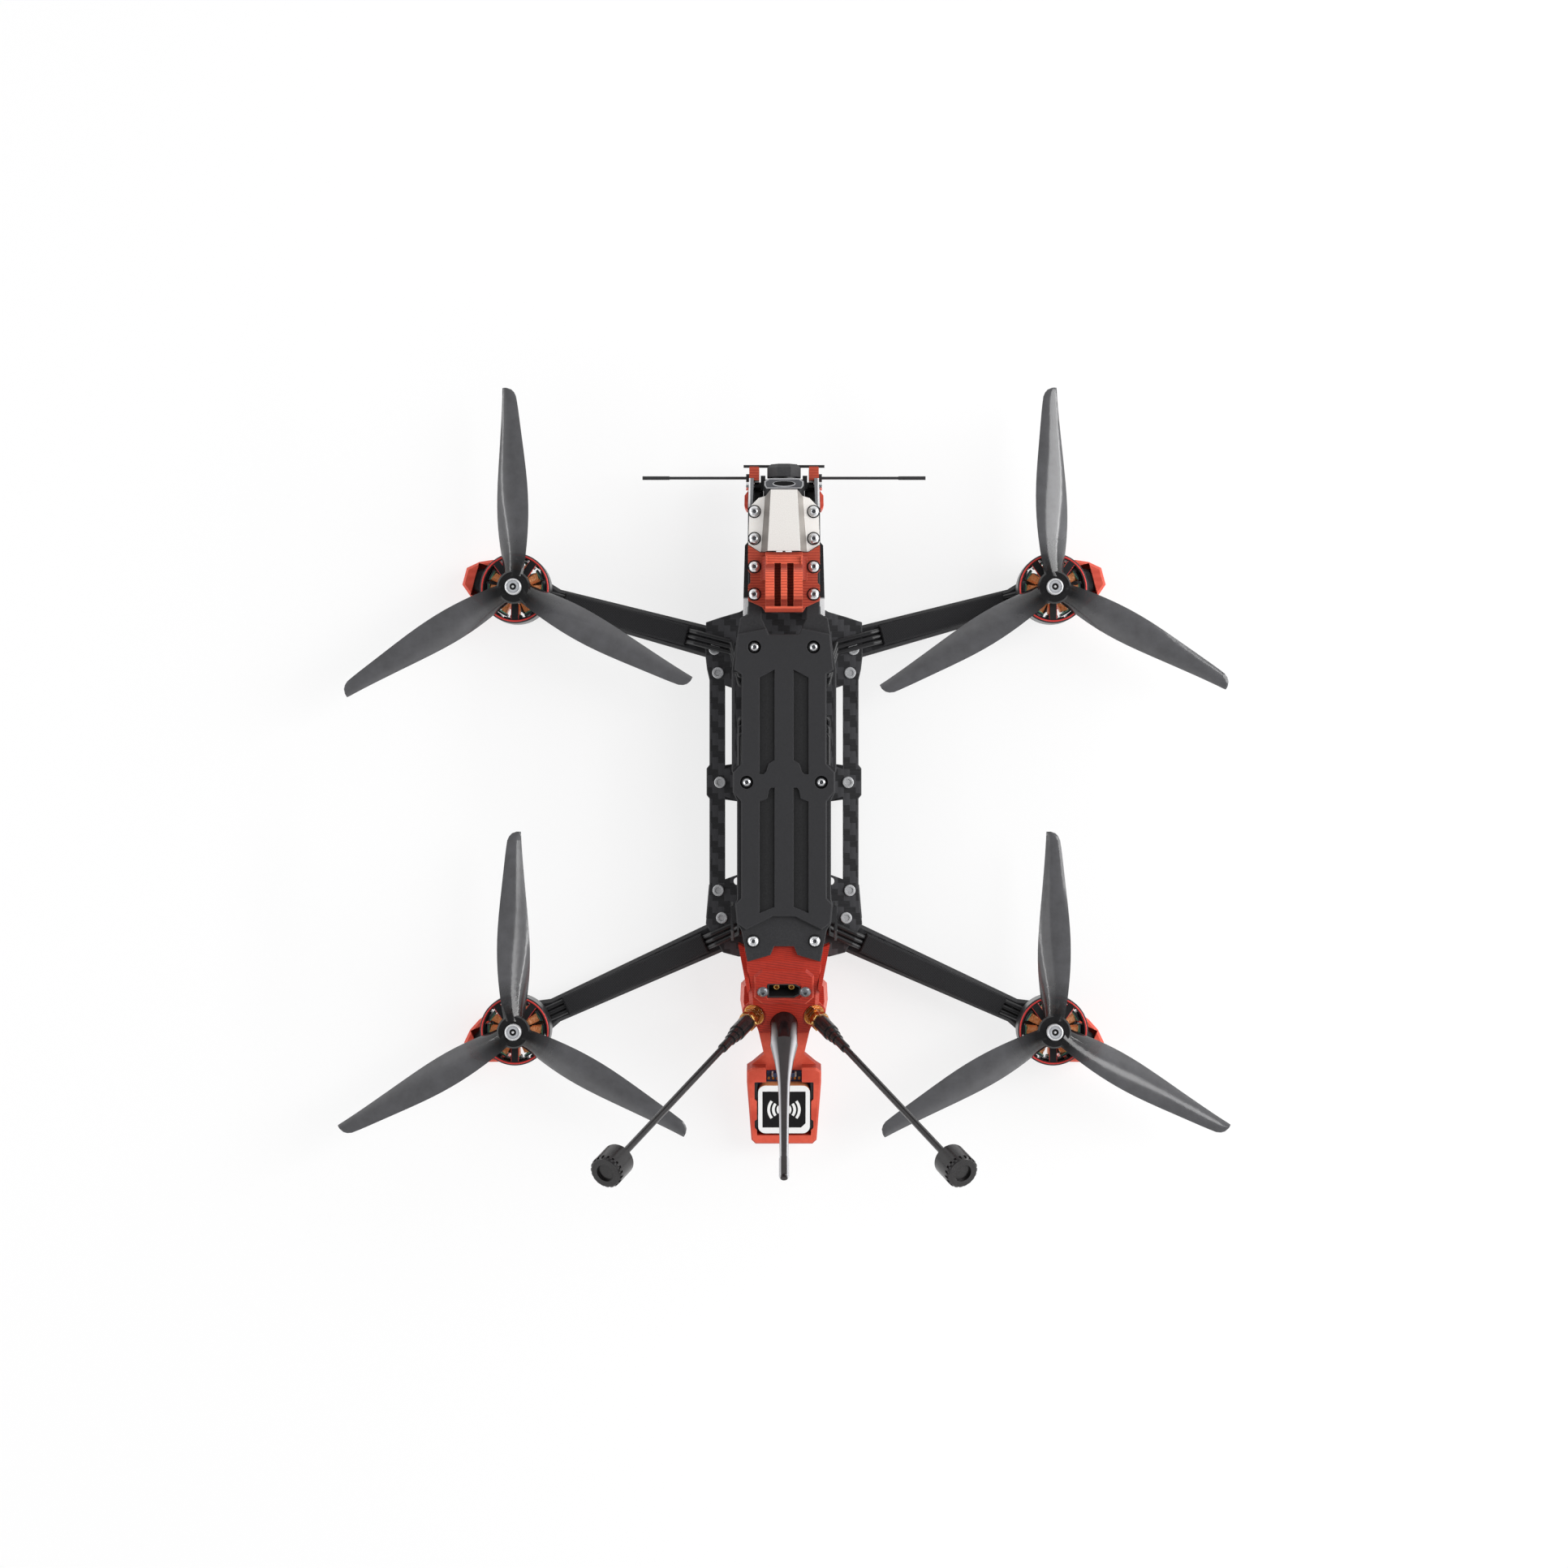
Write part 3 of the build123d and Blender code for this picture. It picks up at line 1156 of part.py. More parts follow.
# ======== motor leads and their sleeves ========
WIRE_R = 1.1
WIRE_GAP = 2.6
WIRE_Z = MID_Z + 1.9
WIRE_OVER_Z = DECK_Z + 2.3
SLEEVE_HALF = 4.9
SLEEVE_TALL = 4.8
SLEEVE_ENDS = {FRONT_Y: (22.5, 84.6), REAR_Y: (25.0, 99.4)}
LEAD_START = -10.4
LEAD_IN_X = 25.5
REAR_RUN_X = 21.4


def lead_route(side, y, number):
    """Centre line of one motor lead, from the motor base to the speed controller's edge."""
    arm_axes = arm_plane(1, y, 0)
    angle = radians(arm_angle(y))
    across = WIRE_GAP * number
    end = SLEEVE_ENDS[y][1]
    at_entry = (LEAD_IN_X - MOTOR_X - across * -sin(angle)) / cos(angle)
    flat = [(LEAD_START, WIRE_Z), (1 - end, WIRE_Z), (-end - 4.5, WIRE_OVER_Z), (at_entry, WIRE_OVER_Z)]
    points = []
    for u, z in flat:
        spot = arm_axes.from_local_coords((u, across, 0))
        points.append((side * spot.X, spot.Y, z))
    pad_z = ESC_Z + BOARD / 2
    if y < 0:
        pad_y = STACK_Y - ESC_HALF[1] + 5 + 4 * (number + 1)
        points.append((side * REAR_RUN_X, pad_y, pad_z))
    else:
        step = number + 1
        level = WIRE_OVER_Z + 2.4 * step
        pad_y = STACK_Y + ESC_HALF[1] - 5 - 4 * (2 - step)
        pad_z = level if step else pad_z
        points += [(side * REAR_RUN_X, points[-1][1] - 2.2, level), (side * REAR_RUN_X, pad_y + 4, level)]
        if not step:
            points.append((side * REAR_RUN_X, pad_y, pad_z))
        else:
            points[-1] = (side * REAR_RUN_X, pad_y, level)
    points.append((side * ESC_HALF[0], pad_y, pad_z))
    return points


lead_parts = []
for side, motor_y in corners:
    for number in (-1, 0, 1):
        route = lead_route(side, motor_y, number)
        with BuildPart() as lead:
            with BuildLine() as path:
                FilletPolyline(*route, radius=1.3)
            with BuildSketch(Plane(origin=path.line @ 0, z_dir=path.line % 0)):
                Circle(WIRE_R)
            sweep()
        lead_parts.append(lead.part)
with BuildPart() as motor_wires:
    add(lead_parts)
write(motor_wires, "motor_wires")


def build_sleeve(side, y):
    """Braided sleeve that holds three leads down on an arm."""
    start, end = SLEEVE_ENDS[y]
    middle = -(start + end) / 2
    with BuildPart() as sleeve:
        with BuildSketch(arm_plane(side, y, MID_Z)):
            with Locations((middle, 0)):
                Rectangle(end - start, 2 * SLEEVE_HALF)
        extrude(amount=SLEEVE_TALL)
        chamfer(sleeve.edges().group_by(Axis.Z)[-1], 0.8)
        with BuildSketch(arm_plane(side, y, MID_Z)):
            with Locations((middle, 0)):
                Rectangle(end - start, 2 * SLEEVE_HALF - 1.8)
        extrude(amount=SLEEVE_TALL - 0.7, mode=Mode.SUBTRACT)
    return sleeve.part


with BuildPart() as wire_sleeves:
    add([build_sleeve(side, y) for side, y in corners])
write(wire_sleeves, "wire_sleeves")
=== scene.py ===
import json
import random
from math import cos, pi, radians, sin

import bmesh
import bpy
from mathutils import Matrix, Vector


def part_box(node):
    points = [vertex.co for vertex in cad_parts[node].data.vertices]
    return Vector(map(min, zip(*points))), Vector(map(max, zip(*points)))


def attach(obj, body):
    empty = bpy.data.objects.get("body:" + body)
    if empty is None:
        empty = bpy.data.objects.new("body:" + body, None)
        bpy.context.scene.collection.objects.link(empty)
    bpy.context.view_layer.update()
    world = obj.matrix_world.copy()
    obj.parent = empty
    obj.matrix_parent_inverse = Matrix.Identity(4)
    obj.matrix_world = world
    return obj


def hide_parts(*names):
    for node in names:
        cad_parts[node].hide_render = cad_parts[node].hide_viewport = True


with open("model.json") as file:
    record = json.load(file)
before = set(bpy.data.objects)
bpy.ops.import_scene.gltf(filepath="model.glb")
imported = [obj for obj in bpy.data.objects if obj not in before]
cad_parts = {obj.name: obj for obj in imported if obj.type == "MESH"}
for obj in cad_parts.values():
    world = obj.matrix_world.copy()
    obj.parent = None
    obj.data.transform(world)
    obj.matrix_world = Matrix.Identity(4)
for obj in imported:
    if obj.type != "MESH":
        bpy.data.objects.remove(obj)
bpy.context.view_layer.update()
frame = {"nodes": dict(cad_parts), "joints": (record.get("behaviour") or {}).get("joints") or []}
nodes = frame["nodes"]

MM = 0.001
AXES = {joint["child"]: Vector(joint["pos_m"]) for joint in frame["joints"]}
CORNERS = ("front_left", "front_right", "rear_left", "rear_right")


# ======== materials ========
def srgb(red, green, blue):
    """Linear colour from 0-255 display values."""
    def line(value):
        value /= 255
        return value / 12.92 if value <= 0.04045 else ((value + 0.055) / 1.055) ** 2.4
    return (line(red), line(green), line(blue), 1.0)


class Paint:
    """A Principled material, with short calls for the nodes that drive it."""

    def __init__(self, name, colour, roughness, metallic=0.0, **sockets):
        self.material = bpy.data.materials.new(name)
        self.material.use_nodes = True
        self.tree = self.material.node_tree
        self.shader = self.tree.nodes["Principled BSDF"]
        self.shader.inputs["Base Color"].default_value = colour
        self.shader.inputs["Roughness"].default_value = roughness
        self.shader.inputs["Metallic"].default_value = metallic
        for socket, value in sockets.items():
            self.shader.inputs[socket.replace("_", " ").title().replace("Ior", "IOR")].default_value = value
        self.place = self.node("ShaderNodeTexCoord").outputs["Object"]
        self.facing = self.node("ShaderNodeTexCoord").outputs["Normal"]

    def node(self, kind, **settings):
        made = self.tree.nodes.new(kind)
        for key, value in settings.items():
            setattr(made, key, value)
        return made

    def feed(self, socket, value):
        if isinstance(value, bpy.types.NodeSocket):
            self.tree.links.new(value, socket)
        else:
            socket.default_value = value

    def math(self, operation, first, second=0.0, third=0.0, clamp=False):
        made = self.node("ShaderNodeMath", operation=operation, use_clamp=clamp)
        for socket, value in zip(made.inputs, (first, second, third)):
            self.feed(socket, value)
        return made.outputs[0]

    def split(self, vector):
        made = self.node("ShaderNodeSeparateXYZ")
        self.feed(made.inputs[0], vector)
        return made.outputs

    def turned(self, degrees=0.0, scale=(1.0, 1.0, 1.0), shift=(0.0, 0.0, 0.0), about="Z", vector=None):
        """Position turned about an axis, then scaled."""
        turn = self.node("ShaderNodeVectorRotate", rotation_type=f"{about}_AXIS")
        self.feed(turn.inputs["Vector"], vector or self.place)
        turn.inputs["Center"].default_value = shift
        turn.inputs["Angle"].default_value = radians(degrees)
        stretch = self.node("ShaderNodeVectorMath", operation="MULTIPLY")
        self.feed(stretch.inputs[0], turn.outputs[0])
        stretch.inputs[1].default_value = scale
        return stretch.outputs[0]

    def noise(self, scale, detail=3.0, roughness=0.55, vector=None):
        made = self.node("ShaderNodeTexNoise")
        self.feed(made.inputs["Vector"], vector or self.place)
        made.inputs["Scale"].default_value = scale
        made.inputs["Detail"].default_value = detail
        made.inputs["Roughness"].default_value = roughness
        return made.outputs["Fac"]

    def span(self, value, low, high, to_low=0.0, to_high=1.0):
        made = self.node("ShaderNodeMapRange")
        for socket, number in zip(made.inputs, (value, low, high, to_low, to_high)):
            self.feed(socket, number)
        return made.outputs["Result"]

    def blend(self, factor, first, second, mode="MIX"):
        made = self.node("ShaderNodeMix", data_type="RGBA", blend_type=mode)
        self.feed(made.inputs[0], factor)
        self.feed(made.inputs[6], first)
        self.feed(made.inputs[7], second)
        return made.outputs[2]

    def waves(self, value, period):
        """0 to 1 and back over each period."""
        phase = self.math("MULTIPLY", value, 2 * pi / period)
        return self.math("MULTIPLY_ADD", self.math("SINE", phase), 0.5, 0.5)

    def paint(self, colour=None, roughness=None):
        if colour is not None:
            self.feed(self.shader.inputs["Base Color"], colour)
        if roughness is not None:
            self.feed(self.shader.inputs["Roughness"], roughness)
        return self

    def bump(self, height, depth_mm, strength=1.0, edge_mm=0.0):
        """Bump over the surface, on corners softened by a small radius."""
        made = self.node("ShaderNodeBump")
        self.feed(made.inputs["Height"], height)
        made.inputs["Distance"].default_value = depth_mm * MM
        made.inputs["Strength"].default_value = strength
        if edge_mm:
            self.feed(made.inputs["Normal"], self.softened(edge_mm))
        self.feed(self.shader.inputs["Normal"], made.outputs["Normal"])
        return self

    def softened(self, edge_mm):
        made = self.node("ShaderNodeBevel", samples=4)
        made.inputs["Radius"].default_value = edge_mm * MM
        return made.outputs["Normal"]

    def wear(self, edge_mm):
        """1 near a corner, 0 on the flats: how far the softened normal leans from the true one."""
        lean = self.node("ShaderNodeVectorMath", operation="DOT_PRODUCT")
        self.feed(lean.inputs[0], self.softened(edge_mm))
        self.feed(lean.inputs[1], self.node("ShaderNodeNewGeometry").outputs["True Normal"])
        return self.span(lean.outputs["Value"], 0.995, 0.9)


TOW_MM = 2.6
PLY_MM = 0.42


def carbon(name, degrees=0.0, tow=TOW_MM, tones=((25, 25, 27), (44, 44, 47), (64, 64, 67))):
    """Twill-woven carbon: tows that pass over two and under two, with ply lines on the cut edges."""
    skin = Paint(name, srgb(34, 34, 36), 0.42, specular_ior_level=0.42)
    cloth = skin.split(skin.turned(degrees, scale=(1 / (tow * MM),) * 3))
    row, column = (skin.math("FLOOR", cloth[axis]) for axis in (0, 1))
    across, along = (skin.math("FRACT", cloth[axis]) for axis in (0, 1))
    step = skin.math("FLOORED_MODULO", skin.math("ADD", row, column), 4.0)
    over = skin.math("LESS_THAN", step, 1.5)
    crowns = [skin.math("SINE", skin.math("MULTIPLY", way, pi)) for way in (across, along)]
    crown = skin.math("ADD", skin.math("MULTIPLY", over, crowns[0]),
                      skin.math("MULTIPLY", skin.math("SUBTRACT", 1.0, over), crowns[1]))
    fibres = [skin.noise(1.0, 2.0, 0.6, skin.turned(degrees, scale=scale))
              for scale in ((5200.0, 300.0, 900.0), (300.0, 5200.0, 900.0))]
    fibre = skin.math("ADD", skin.math("MULTIPLY", over, fibres[0]),
                      skin.math("MULTIPLY", skin.math("SUBTRACT", 1.0, over), fibres[1]))
    height = skin.split(skin.place)[2]
    upright = skin.math("ABSOLUTE", skin.split(skin.facing)[2])
    cut = skin.span(upright, 0.95, 0.85)
    plies = skin.waves(height, PLY_MM * MM)
    weave = skin.blend(over, srgb(*tones[0]), srgb(*tones[1]))
    weave = skin.blend(skin.math("MULTIPLY", fibre, 0.5), weave, srgb(*tones[2]))
    edge = skin.blend(plies, srgb(22, 22, 23), srgb(62, 62, 64))
    colour = skin.blend(cut, weave, edge)
    colour = skin.blend(skin.math("MULTIPLY", skin.wear(0.35), 0.35), colour, srgb(92, 92, 95))
    skin.paint(colour, skin.blend(cut, skin.blend(over, (0.36,) * 4, (0.5,) * 4), (0.6,) * 4))
    relief = skin.math("ADD", skin.math("MULTIPLY", crown, skin.math("SUBTRACT", 1.0, cut)),
                       skin.math("MULTIPLY", plies, cut))
    return skin.bump(skin.math("MULTIPLY_ADD", fibre, 0.25, relief), 0.05, 0.7, edge_mm=0.3).material


def red_print(name, deep, bright, side, lines=(0.0, 1.0, 0.25), pitch_mm=0.9, contrast=1.0, shaded=None):
    """Layered red print: lines stacked along a direction, mottled, with painted light and shade on upright
    walls and, where heights are given, painted shade low down.
    """
    skin = Paint(name, srgb(*bright), 0.5, specular_ior_level=0.35)
    stack = skin.node("ShaderNodeVectorMath", operation="DOT_PRODUCT")
    skin.feed(stack.inputs[0], skin.place)
    stack.inputs[1].default_value = Vector(lines).normalized()
    wobble = skin.math("MULTIPLY", skin.noise(160.0, 2.0), 0.0003)
    level = skin.math("ADD", stack.outputs["Value"], wobble)
    layers = skin.waves(level, pitch_mm * MM)
    fine = skin.waves(level, pitch_mm * MM / 2.7)
    mottle = skin.noise(520.0, 4.0, 0.6)
    patches = skin.noise(60.0, 2.0, 0.5)
    upright = skin.math("ABSOLUTE", skin.split(skin.facing)[2])
    # Painted light and shade: upright walls are blended towards the third colour, lighter than the flats on
    # some prints and darker on others.
    wall = skin.span(upright, 0.8, 0.35)
    banded = skin.span(layers, 0.1, 0.9, 0.5 - 0.5 * contrast, 0.5 + 0.5 * contrast)
    colour = skin.blend(banded, srgb(*deep), srgb(*bright))
    colour = skin.blend(skin.span(patches, 0.4, 0.7, 0.0, 0.35), colour, srgb(*bright))
    colour = skin.blend(skin.math("MULTIPLY", wall, 0.8), colour, srgb(*side))
    colour = skin.blend(skin.span(mottle, 0.4, 0.75, 0.0, 0.3), colour, srgb(*deep))
    # Painted shade: below the given heights the colour is blended towards the wall colour.
    if shaded:
        height = skin.split(skin.place)[2]
        colour = skin.blend(skin.span(height, shaded[1] * MM, shaded[0] * MM, 0.0, 0.55), colour, srgb(*side))
    pale = tuple(min(255, value + 34) for value in bright)
    colour = skin.blend(skin.math("MULTIPLY", skin.wear(0.3), 0.5), colour, srgb(*pale))
    skin.paint(colour, skin.span(mottle, 0.3, 0.7, 0.4, 0.62))
    relief = skin.math("MULTIPLY_ADD", fine, 0.35, skin.math("MULTIPLY_ADD", mottle, 0.4, layers))
    return skin.bump(relief, 0.07 * contrast, 0.8, edge_mm=0.25).material


def moulded(name, colour, roughness, grain=900.0, depth_mm=0.03, edge_mm=0.3, **sockets):
    """Moulded or anodised surface with a fine grain, slight blotches and rubbed corners."""
    skin = Paint(name, colour, roughness, **sockets)
    fine = skin.noise(grain, 3.0, 0.6)
    blotch = skin.noise(90.0, 2.0, 0.5)
    lighter = tuple(min(1.0, value * 1.6 + 0.01) for value in colour[:3]) + (1.0,)
    rubbed = tuple(min(1.0, value * 2.2 + 0.03) for value in colour[:3]) + (1.0,)
    shade = skin.blend(skin.span(fine, 0.35, 0.75, 0.0, 0.5), colour, lighter)
    shade = skin.blend(skin.math("MULTIPLY", skin.wear(edge_mm), 0.4), shade, rubbed)
    skin.paint(shade, skin.span(skin.math("MULTIPLY_ADD", fine, 0.4, blotch), 0.4, 1.0,
                                roughness * 0.85, min(1.0, roughness * 1.2)))
    return skin.bump(fine, depth_mm, 0.7, edge_mm=edge_mm).material


def metal(name, colour, roughness, brushed=(1.0, 1.0, 1.0), grain=1500.0, depth_mm=0.008, edge_mm=0.15):
    """Metal with a directional or even grain, and brighter corners."""
    skin = Paint(name, colour, roughness, metallic=1.0)
    lines = skin.noise(grain, 2.0, 0.6, skin.turned(scale=brushed))
    smudge = skin.noise(200.0, 3.0, 0.6)
    darker = tuple(value * 0.7 for value in colour[:3]) + (1.0,)
    shade = skin.blend(skin.span(lines, 0.3, 0.7, 0.0, 0.6), colour, darker)
    shade = skin.blend(skin.math("MULTIPLY", skin.wear(edge_mm), 0.5), shade, srgb(235, 235, 235))
    skin.paint(shade, skin.span(smudge, 0.3, 0.75, roughness * 0.8, min(1.0, roughness * 1.35)))
    return skin.bump(lines, depth_mm, 0.6, edge_mm=edge_mm).material


def pad_rubber():
    """Smooth silicone pad, with painted shade that makes the grooves' floors darker than its top."""
    skin = Paint("battery_rubber", srgb(50, 50, 52), 0.6, specular_ior_level=0.3)
    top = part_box("battery_pad")[1].z
    height = skin.split(skin.place)[2]
    # Painted shade: the grooves' floors are darker than the top.
    groove_shade = skin.span(height, top - 0.3 * MM, top - 1.0 * MM)
    fine = skin.noise(1600.0, 3.0, 0.6)
    colour = skin.blend(groove_shade, srgb(41, 41, 43), srgb(23, 23, 24))
    colour = skin.blend(skin.span(fine, 0.35, 0.7, 0.0, 0.22), colour, srgb(62, 62, 65))
    colour = skin.blend(skin.math("MULTIPLY", skin.wear(0.4), 0.3), colour, srgb(96, 96, 99))
    skin.paint(colour, skin.span(fine, 0.3, 0.7, 0.52, 0.68))
    return skin.bump(fine, 0.02, 0.6, edge_mm=0.4).material


def smoke(name, axis):
    """Smoke-tinted plastic of a propeller: opaque at its hub, darker at the roots, with moulding streaks."""
    skin = Paint(name, srgb(40, 40, 42), 0.1, specular_ior_level=0.5, coat_weight=0.3)
    skin.shader.inputs["Coat Roughness"].default_value = 0.12
    spread = skin.node("ShaderNodeVectorMath", operation="SUBTRACT")
    skin.feed(spread.inputs[0], skin.place)
    spread.inputs[1].default_value = axis
    flat = skin.node("ShaderNodeVectorMath", operation="MULTIPLY")
    skin.feed(flat.inputs[0], spread.outputs[0])
    flat.inputs[1].default_value = (1.0, 1.0, 0.0)
    length = skin.node("ShaderNodeVectorMath", operation="LENGTH")
    skin.feed(length.inputs[0], flat.outputs[0])
    radius = length.outputs["Value"]
    streaks = skin.noise(150.0, 3.0, 0.6)
    specks = skin.noise(1200.0, 2.0, 0.6)
    outer = skin.blend(skin.span(streaks, 0.3, 0.75), srgb(77, 77, 79), srgb(88, 88, 91))
    root = skin.blend(skin.span(specks, 0.3, 0.7), srgb(17, 17, 18), srgb(24, 24, 25))
    skin.paint(skin.blend(skin.span(radius, 9 * MM, 26 * MM), root, outer),
               skin.span(specks, 0.3, 0.7, 0.13, 0.2))
    skin.feed(skin.shader.inputs["Alpha"], skin.span(radius, 8.0 * MM, 8.6 * MM, 1.0, 0.88))
    return skin.bump(streaks, 0.03, 0.12).material


def whip_gloss():
    """Glossy black moulding with painted reflections down its sides, and faint flow marks along its length."""
    skin = Paint("whip_gloss", srgb(14, 13, 14), 0.14, specular_ior_level=0.5)
    across, _, up = skin.split(skin.facing)
    flow = skin.noise(220.0, 3.0, 0.6, skin.turned(scale=(1.0, 0.08, 1.0)))
    # Painted reflection: pale streaks where the surface faces sideways and a little up, from y 118 mm back.
    out = skin.math("ABSOLUTE", across)
    side_reflection = skin.math("MULTIPLY", skin.span(out, 0.5, 0.78), skin.span(out, 0.98, 0.88))
    side_reflection = skin.math("MULTIPLY", side_reflection, skin.span(up, 0.05, 0.3))
    side_reflection = skin.math("MULTIPLY", side_reflection, skin.span(skin.split(skin.place)[1], 118.0 * MM, 127.0 * MM))
    dark = skin.blend(skin.span(flow, 0.3, 0.7), srgb(20, 12, 13), srgb(36, 27, 28))
    skin.paint(skin.blend(skin.math("MULTIPLY", side_reflection, 0.9), dark, srgb(222, 222, 226)),
               skin.span(flow, 0.3, 0.7, 0.12, 0.2))
    return skin.bump(flow, 0.01, 0.4).material


def braid():
    """Braided sleeve: two sets of slanting strands."""
    skin = Paint("braid", srgb(30, 30, 31), 0.75, specular_ior_level=0.25)
    ways = [skin.waves(skin.split(skin.turned(angle))[0], 0.9 * MM) for angle in (40.0, -40.0)]
    check = skin.math("MAXIMUM", *ways)
    fuzz = skin.noise(2400.0, 2.0, 0.7)
    colour = skin.blend(check, srgb(20, 20, 21), srgb(40, 40, 42))
    colour = skin.blend(skin.span(fuzz, 0.4, 0.8, 0.0, 0.4), colour, srgb(62, 62, 64))
    skin.paint(colour, skin.span(fuzz, 0.3, 0.7, 0.65, 0.85))
    return skin.bump(check, 0.08, 0.7, edge_mm=0.4).material


def blasted_silver():
    """Bead-blasted silver sheet, with painted shade and reflection on its steep sides and a painted glow on
    its flat outer rims.
    """
    skin = Paint("satin_silver", srgb(240, 236, 232), 0.45, metallic=0.12, specular_ior_level=0.5)
    grain = skin.noise(2600.0, 3.0, 0.65)
    smudge = skin.noise(70.0, 2.0, 0.5)
    across = skin.split(skin.facing)[0]
    colour = skin.blend(skin.span(grain, 0.3, 0.7), srgb(226, 222, 217), srgb(242, 239, 235))
    # Painted shade and reflection: steep sides are darker, those facing +X darker than those facing -X.
    left = skin.blend(smudge, srgb(92, 87, 83), srgb(146, 140, 135))
    right = skin.blend(smudge, srgb(112, 107, 102), srgb(166, 160, 154))
    colour = skin.blend(skin.span(across, 0.25, 0.6), colour, left)
    colour = skin.blend(skin.span(across, -0.25, -0.6), colour, right)
    colour = skin.blend(skin.math("MULTIPLY", skin.wear(0.25), 0.6), colour, srgb(250, 249, 247))
    # Painted light: flat up-facing parts more than 9.5 mm from the middle glow a little.
    x = skin.split(skin.place)[0]
    rim_glow = skin.math("MULTIPLY", skin.span(skin.split(skin.facing)[2], 0.9, 0.98),
                       skin.span(skin.math("ABSOLUTE", x), 9.0 * MM, 9.5 * MM))
    skin.shader.inputs["Emission Color"].default_value = srgb(255, 252, 248)
    skin.feed(skin.shader.inputs["Emission Strength"], skin.math("MULTIPLY", rim_glow, 0.2))
    skin.paint(colour, skin.span(grain, 0.3, 0.7, 0.36, 0.52))
    return skin.bump(grain, 0.02, 0.8, edge_mm=0.3).material


def nose_plate():
    """Black anodised plate, with bare machined metal along the raised edges at its two ends, painted dark grey
    inside as a reflection and near-white at its outer edge as a highlight.
    """
    skin = Paint("nose_plate", srgb(30, 30, 32), 0.3, metallic=0.1, specular_ior_level=0.6)
    x, y, _ = skin.split(skin.place)
    up = skin.split(skin.facing)[2]
    grain = skin.noise(1800.0, 3.0, 0.6)
    out = skin.span(skin.math("ABSOLUTE", x), 13.9 * MM, 14.3 * MM)
    front = skin.span(y, -126.6 * MM, -127.6 * MM)
    rear = skin.span(y, -84.4 * MM, -83.4 * MM)
    ends = skin.math("MULTIPLY", out, skin.math("MAXIMUM", front, rear))
    bare = skin.math("MULTIPLY", skin.span(up, 0.2, 0.5), ends)
    black = skin.blend(skin.span(grain, 0.35, 0.75, 0.0, 0.5), srgb(28, 28, 30), srgb(48, 48, 51))
    black = skin.blend(skin.math("MULTIPLY", skin.wear(0.2), 0.5), black, srgb(130, 130, 133))
    # Painted reflection and highlight: the bare metal is dark grey inside and near-white along its outer edge.
    rim = skin.span(skin.math("ABSOLUTE", x), 15.9 * MM, 16.2 * MM)
    steel = skin.blend(rim, srgb(120, 121, 124), srgb(246, 247, 248))
    skin.paint(skin.blend(bare, black, steel), skin.span(grain, 0.3, 0.7, 0.24, 0.36))
    return skin.bump(grain, 0.012, 0.6, edge_mm=0.2).material


def solder_mask(name, colour):
    """Circuit board: mask over faint copper tracks."""
    skin = Paint(name, colour, 0.35, specular_ior_level=0.5)
    cell = skin.node("ShaderNodeTexVoronoi", distance="MANHATTAN", feature="F1")
    skin.feed(cell.inputs["Vector"], skin.place)
    cell.inputs["Scale"].default_value = 420.0
    tracks = skin.span(skin.math("FRACT", skin.math("MULTIPLY", cell.outputs["Distance"], 9.0)), 0.4, 0.5)
    paler = tuple(value * 2.2 + 0.01 for value in colour[:3]) + (1.0,)
    tracked = skin.blend(skin.math("MULTIPLY", tracks, 0.5), colour, paler)
    skin.paint(tracked, skin.span(skin.noise(800.0), 0.3, 0.7, 0.28, 0.45))
    return skin.bump(tracks, 0.03, 0.6, edge_mm=0.15).material


def copper():
    """Enamelled copper wire that glows a little: painted light lifting it out of the bells' shade."""
    skin = Paint("copper_wire", srgb(240, 168, 112), 0.3, metallic=0.15, emission_strength=0.14,
                 emission_color=srgb(240, 150, 90))
    drawn = skin.noise(900.0, 3.0, 0.6)
    colour = skin.blend(skin.span(drawn, 0.3, 0.7), srgb(214, 128, 74), srgb(255, 204, 156))
    skin.paint(colour, skin.span(drawn, 0.3, 0.7, 0.22, 0.38))
    return skin.bump(drawn, 0.01, 0.5).material


def lens_glass():
    """Coated glass with a faint violet tint."""
    skin = Paint("lens_glass", srgb(18, 20, 34), 0.05, specular_ior_level=0.8, coat_weight=1.0)
    tint = skin.noise(120.0, 2.0)
    skin.paint(skin.blend(skin.span(tint, 0.3, 0.7), srgb(12, 14, 30), srgb(34, 22, 52)),
               skin.span(tint, 0.3, 0.7, 0.03, 0.08))
    return skin.material


def bolt_steel():
    """Black oxide below, and bare bright steel where a bolt's end shows in its press nut."""
    skin = Paint("bolt_steel", srgb(38, 38, 40), 0.35, metallic=0.3)
    height = skin.split(skin.place)[2]
    bare = skin.span(height, 18.4 * MM, 18.6 * MM)
    fine = skin.noise(1500.0, 2.0, 0.6)
    colour = skin.blend(bare, srgb(40, 40, 42), srgb(205, 206, 208))
    colour = skin.blend(skin.span(fine, 0.35, 0.7, 0.0, 0.4), colour, srgb(120, 121, 123))
    skin.paint(colour, skin.span(fine, 0.3, 0.7, 0.3, 0.45))
    return skin.bump(fine, 0.01, 0.5, edge_mm=0.15).material


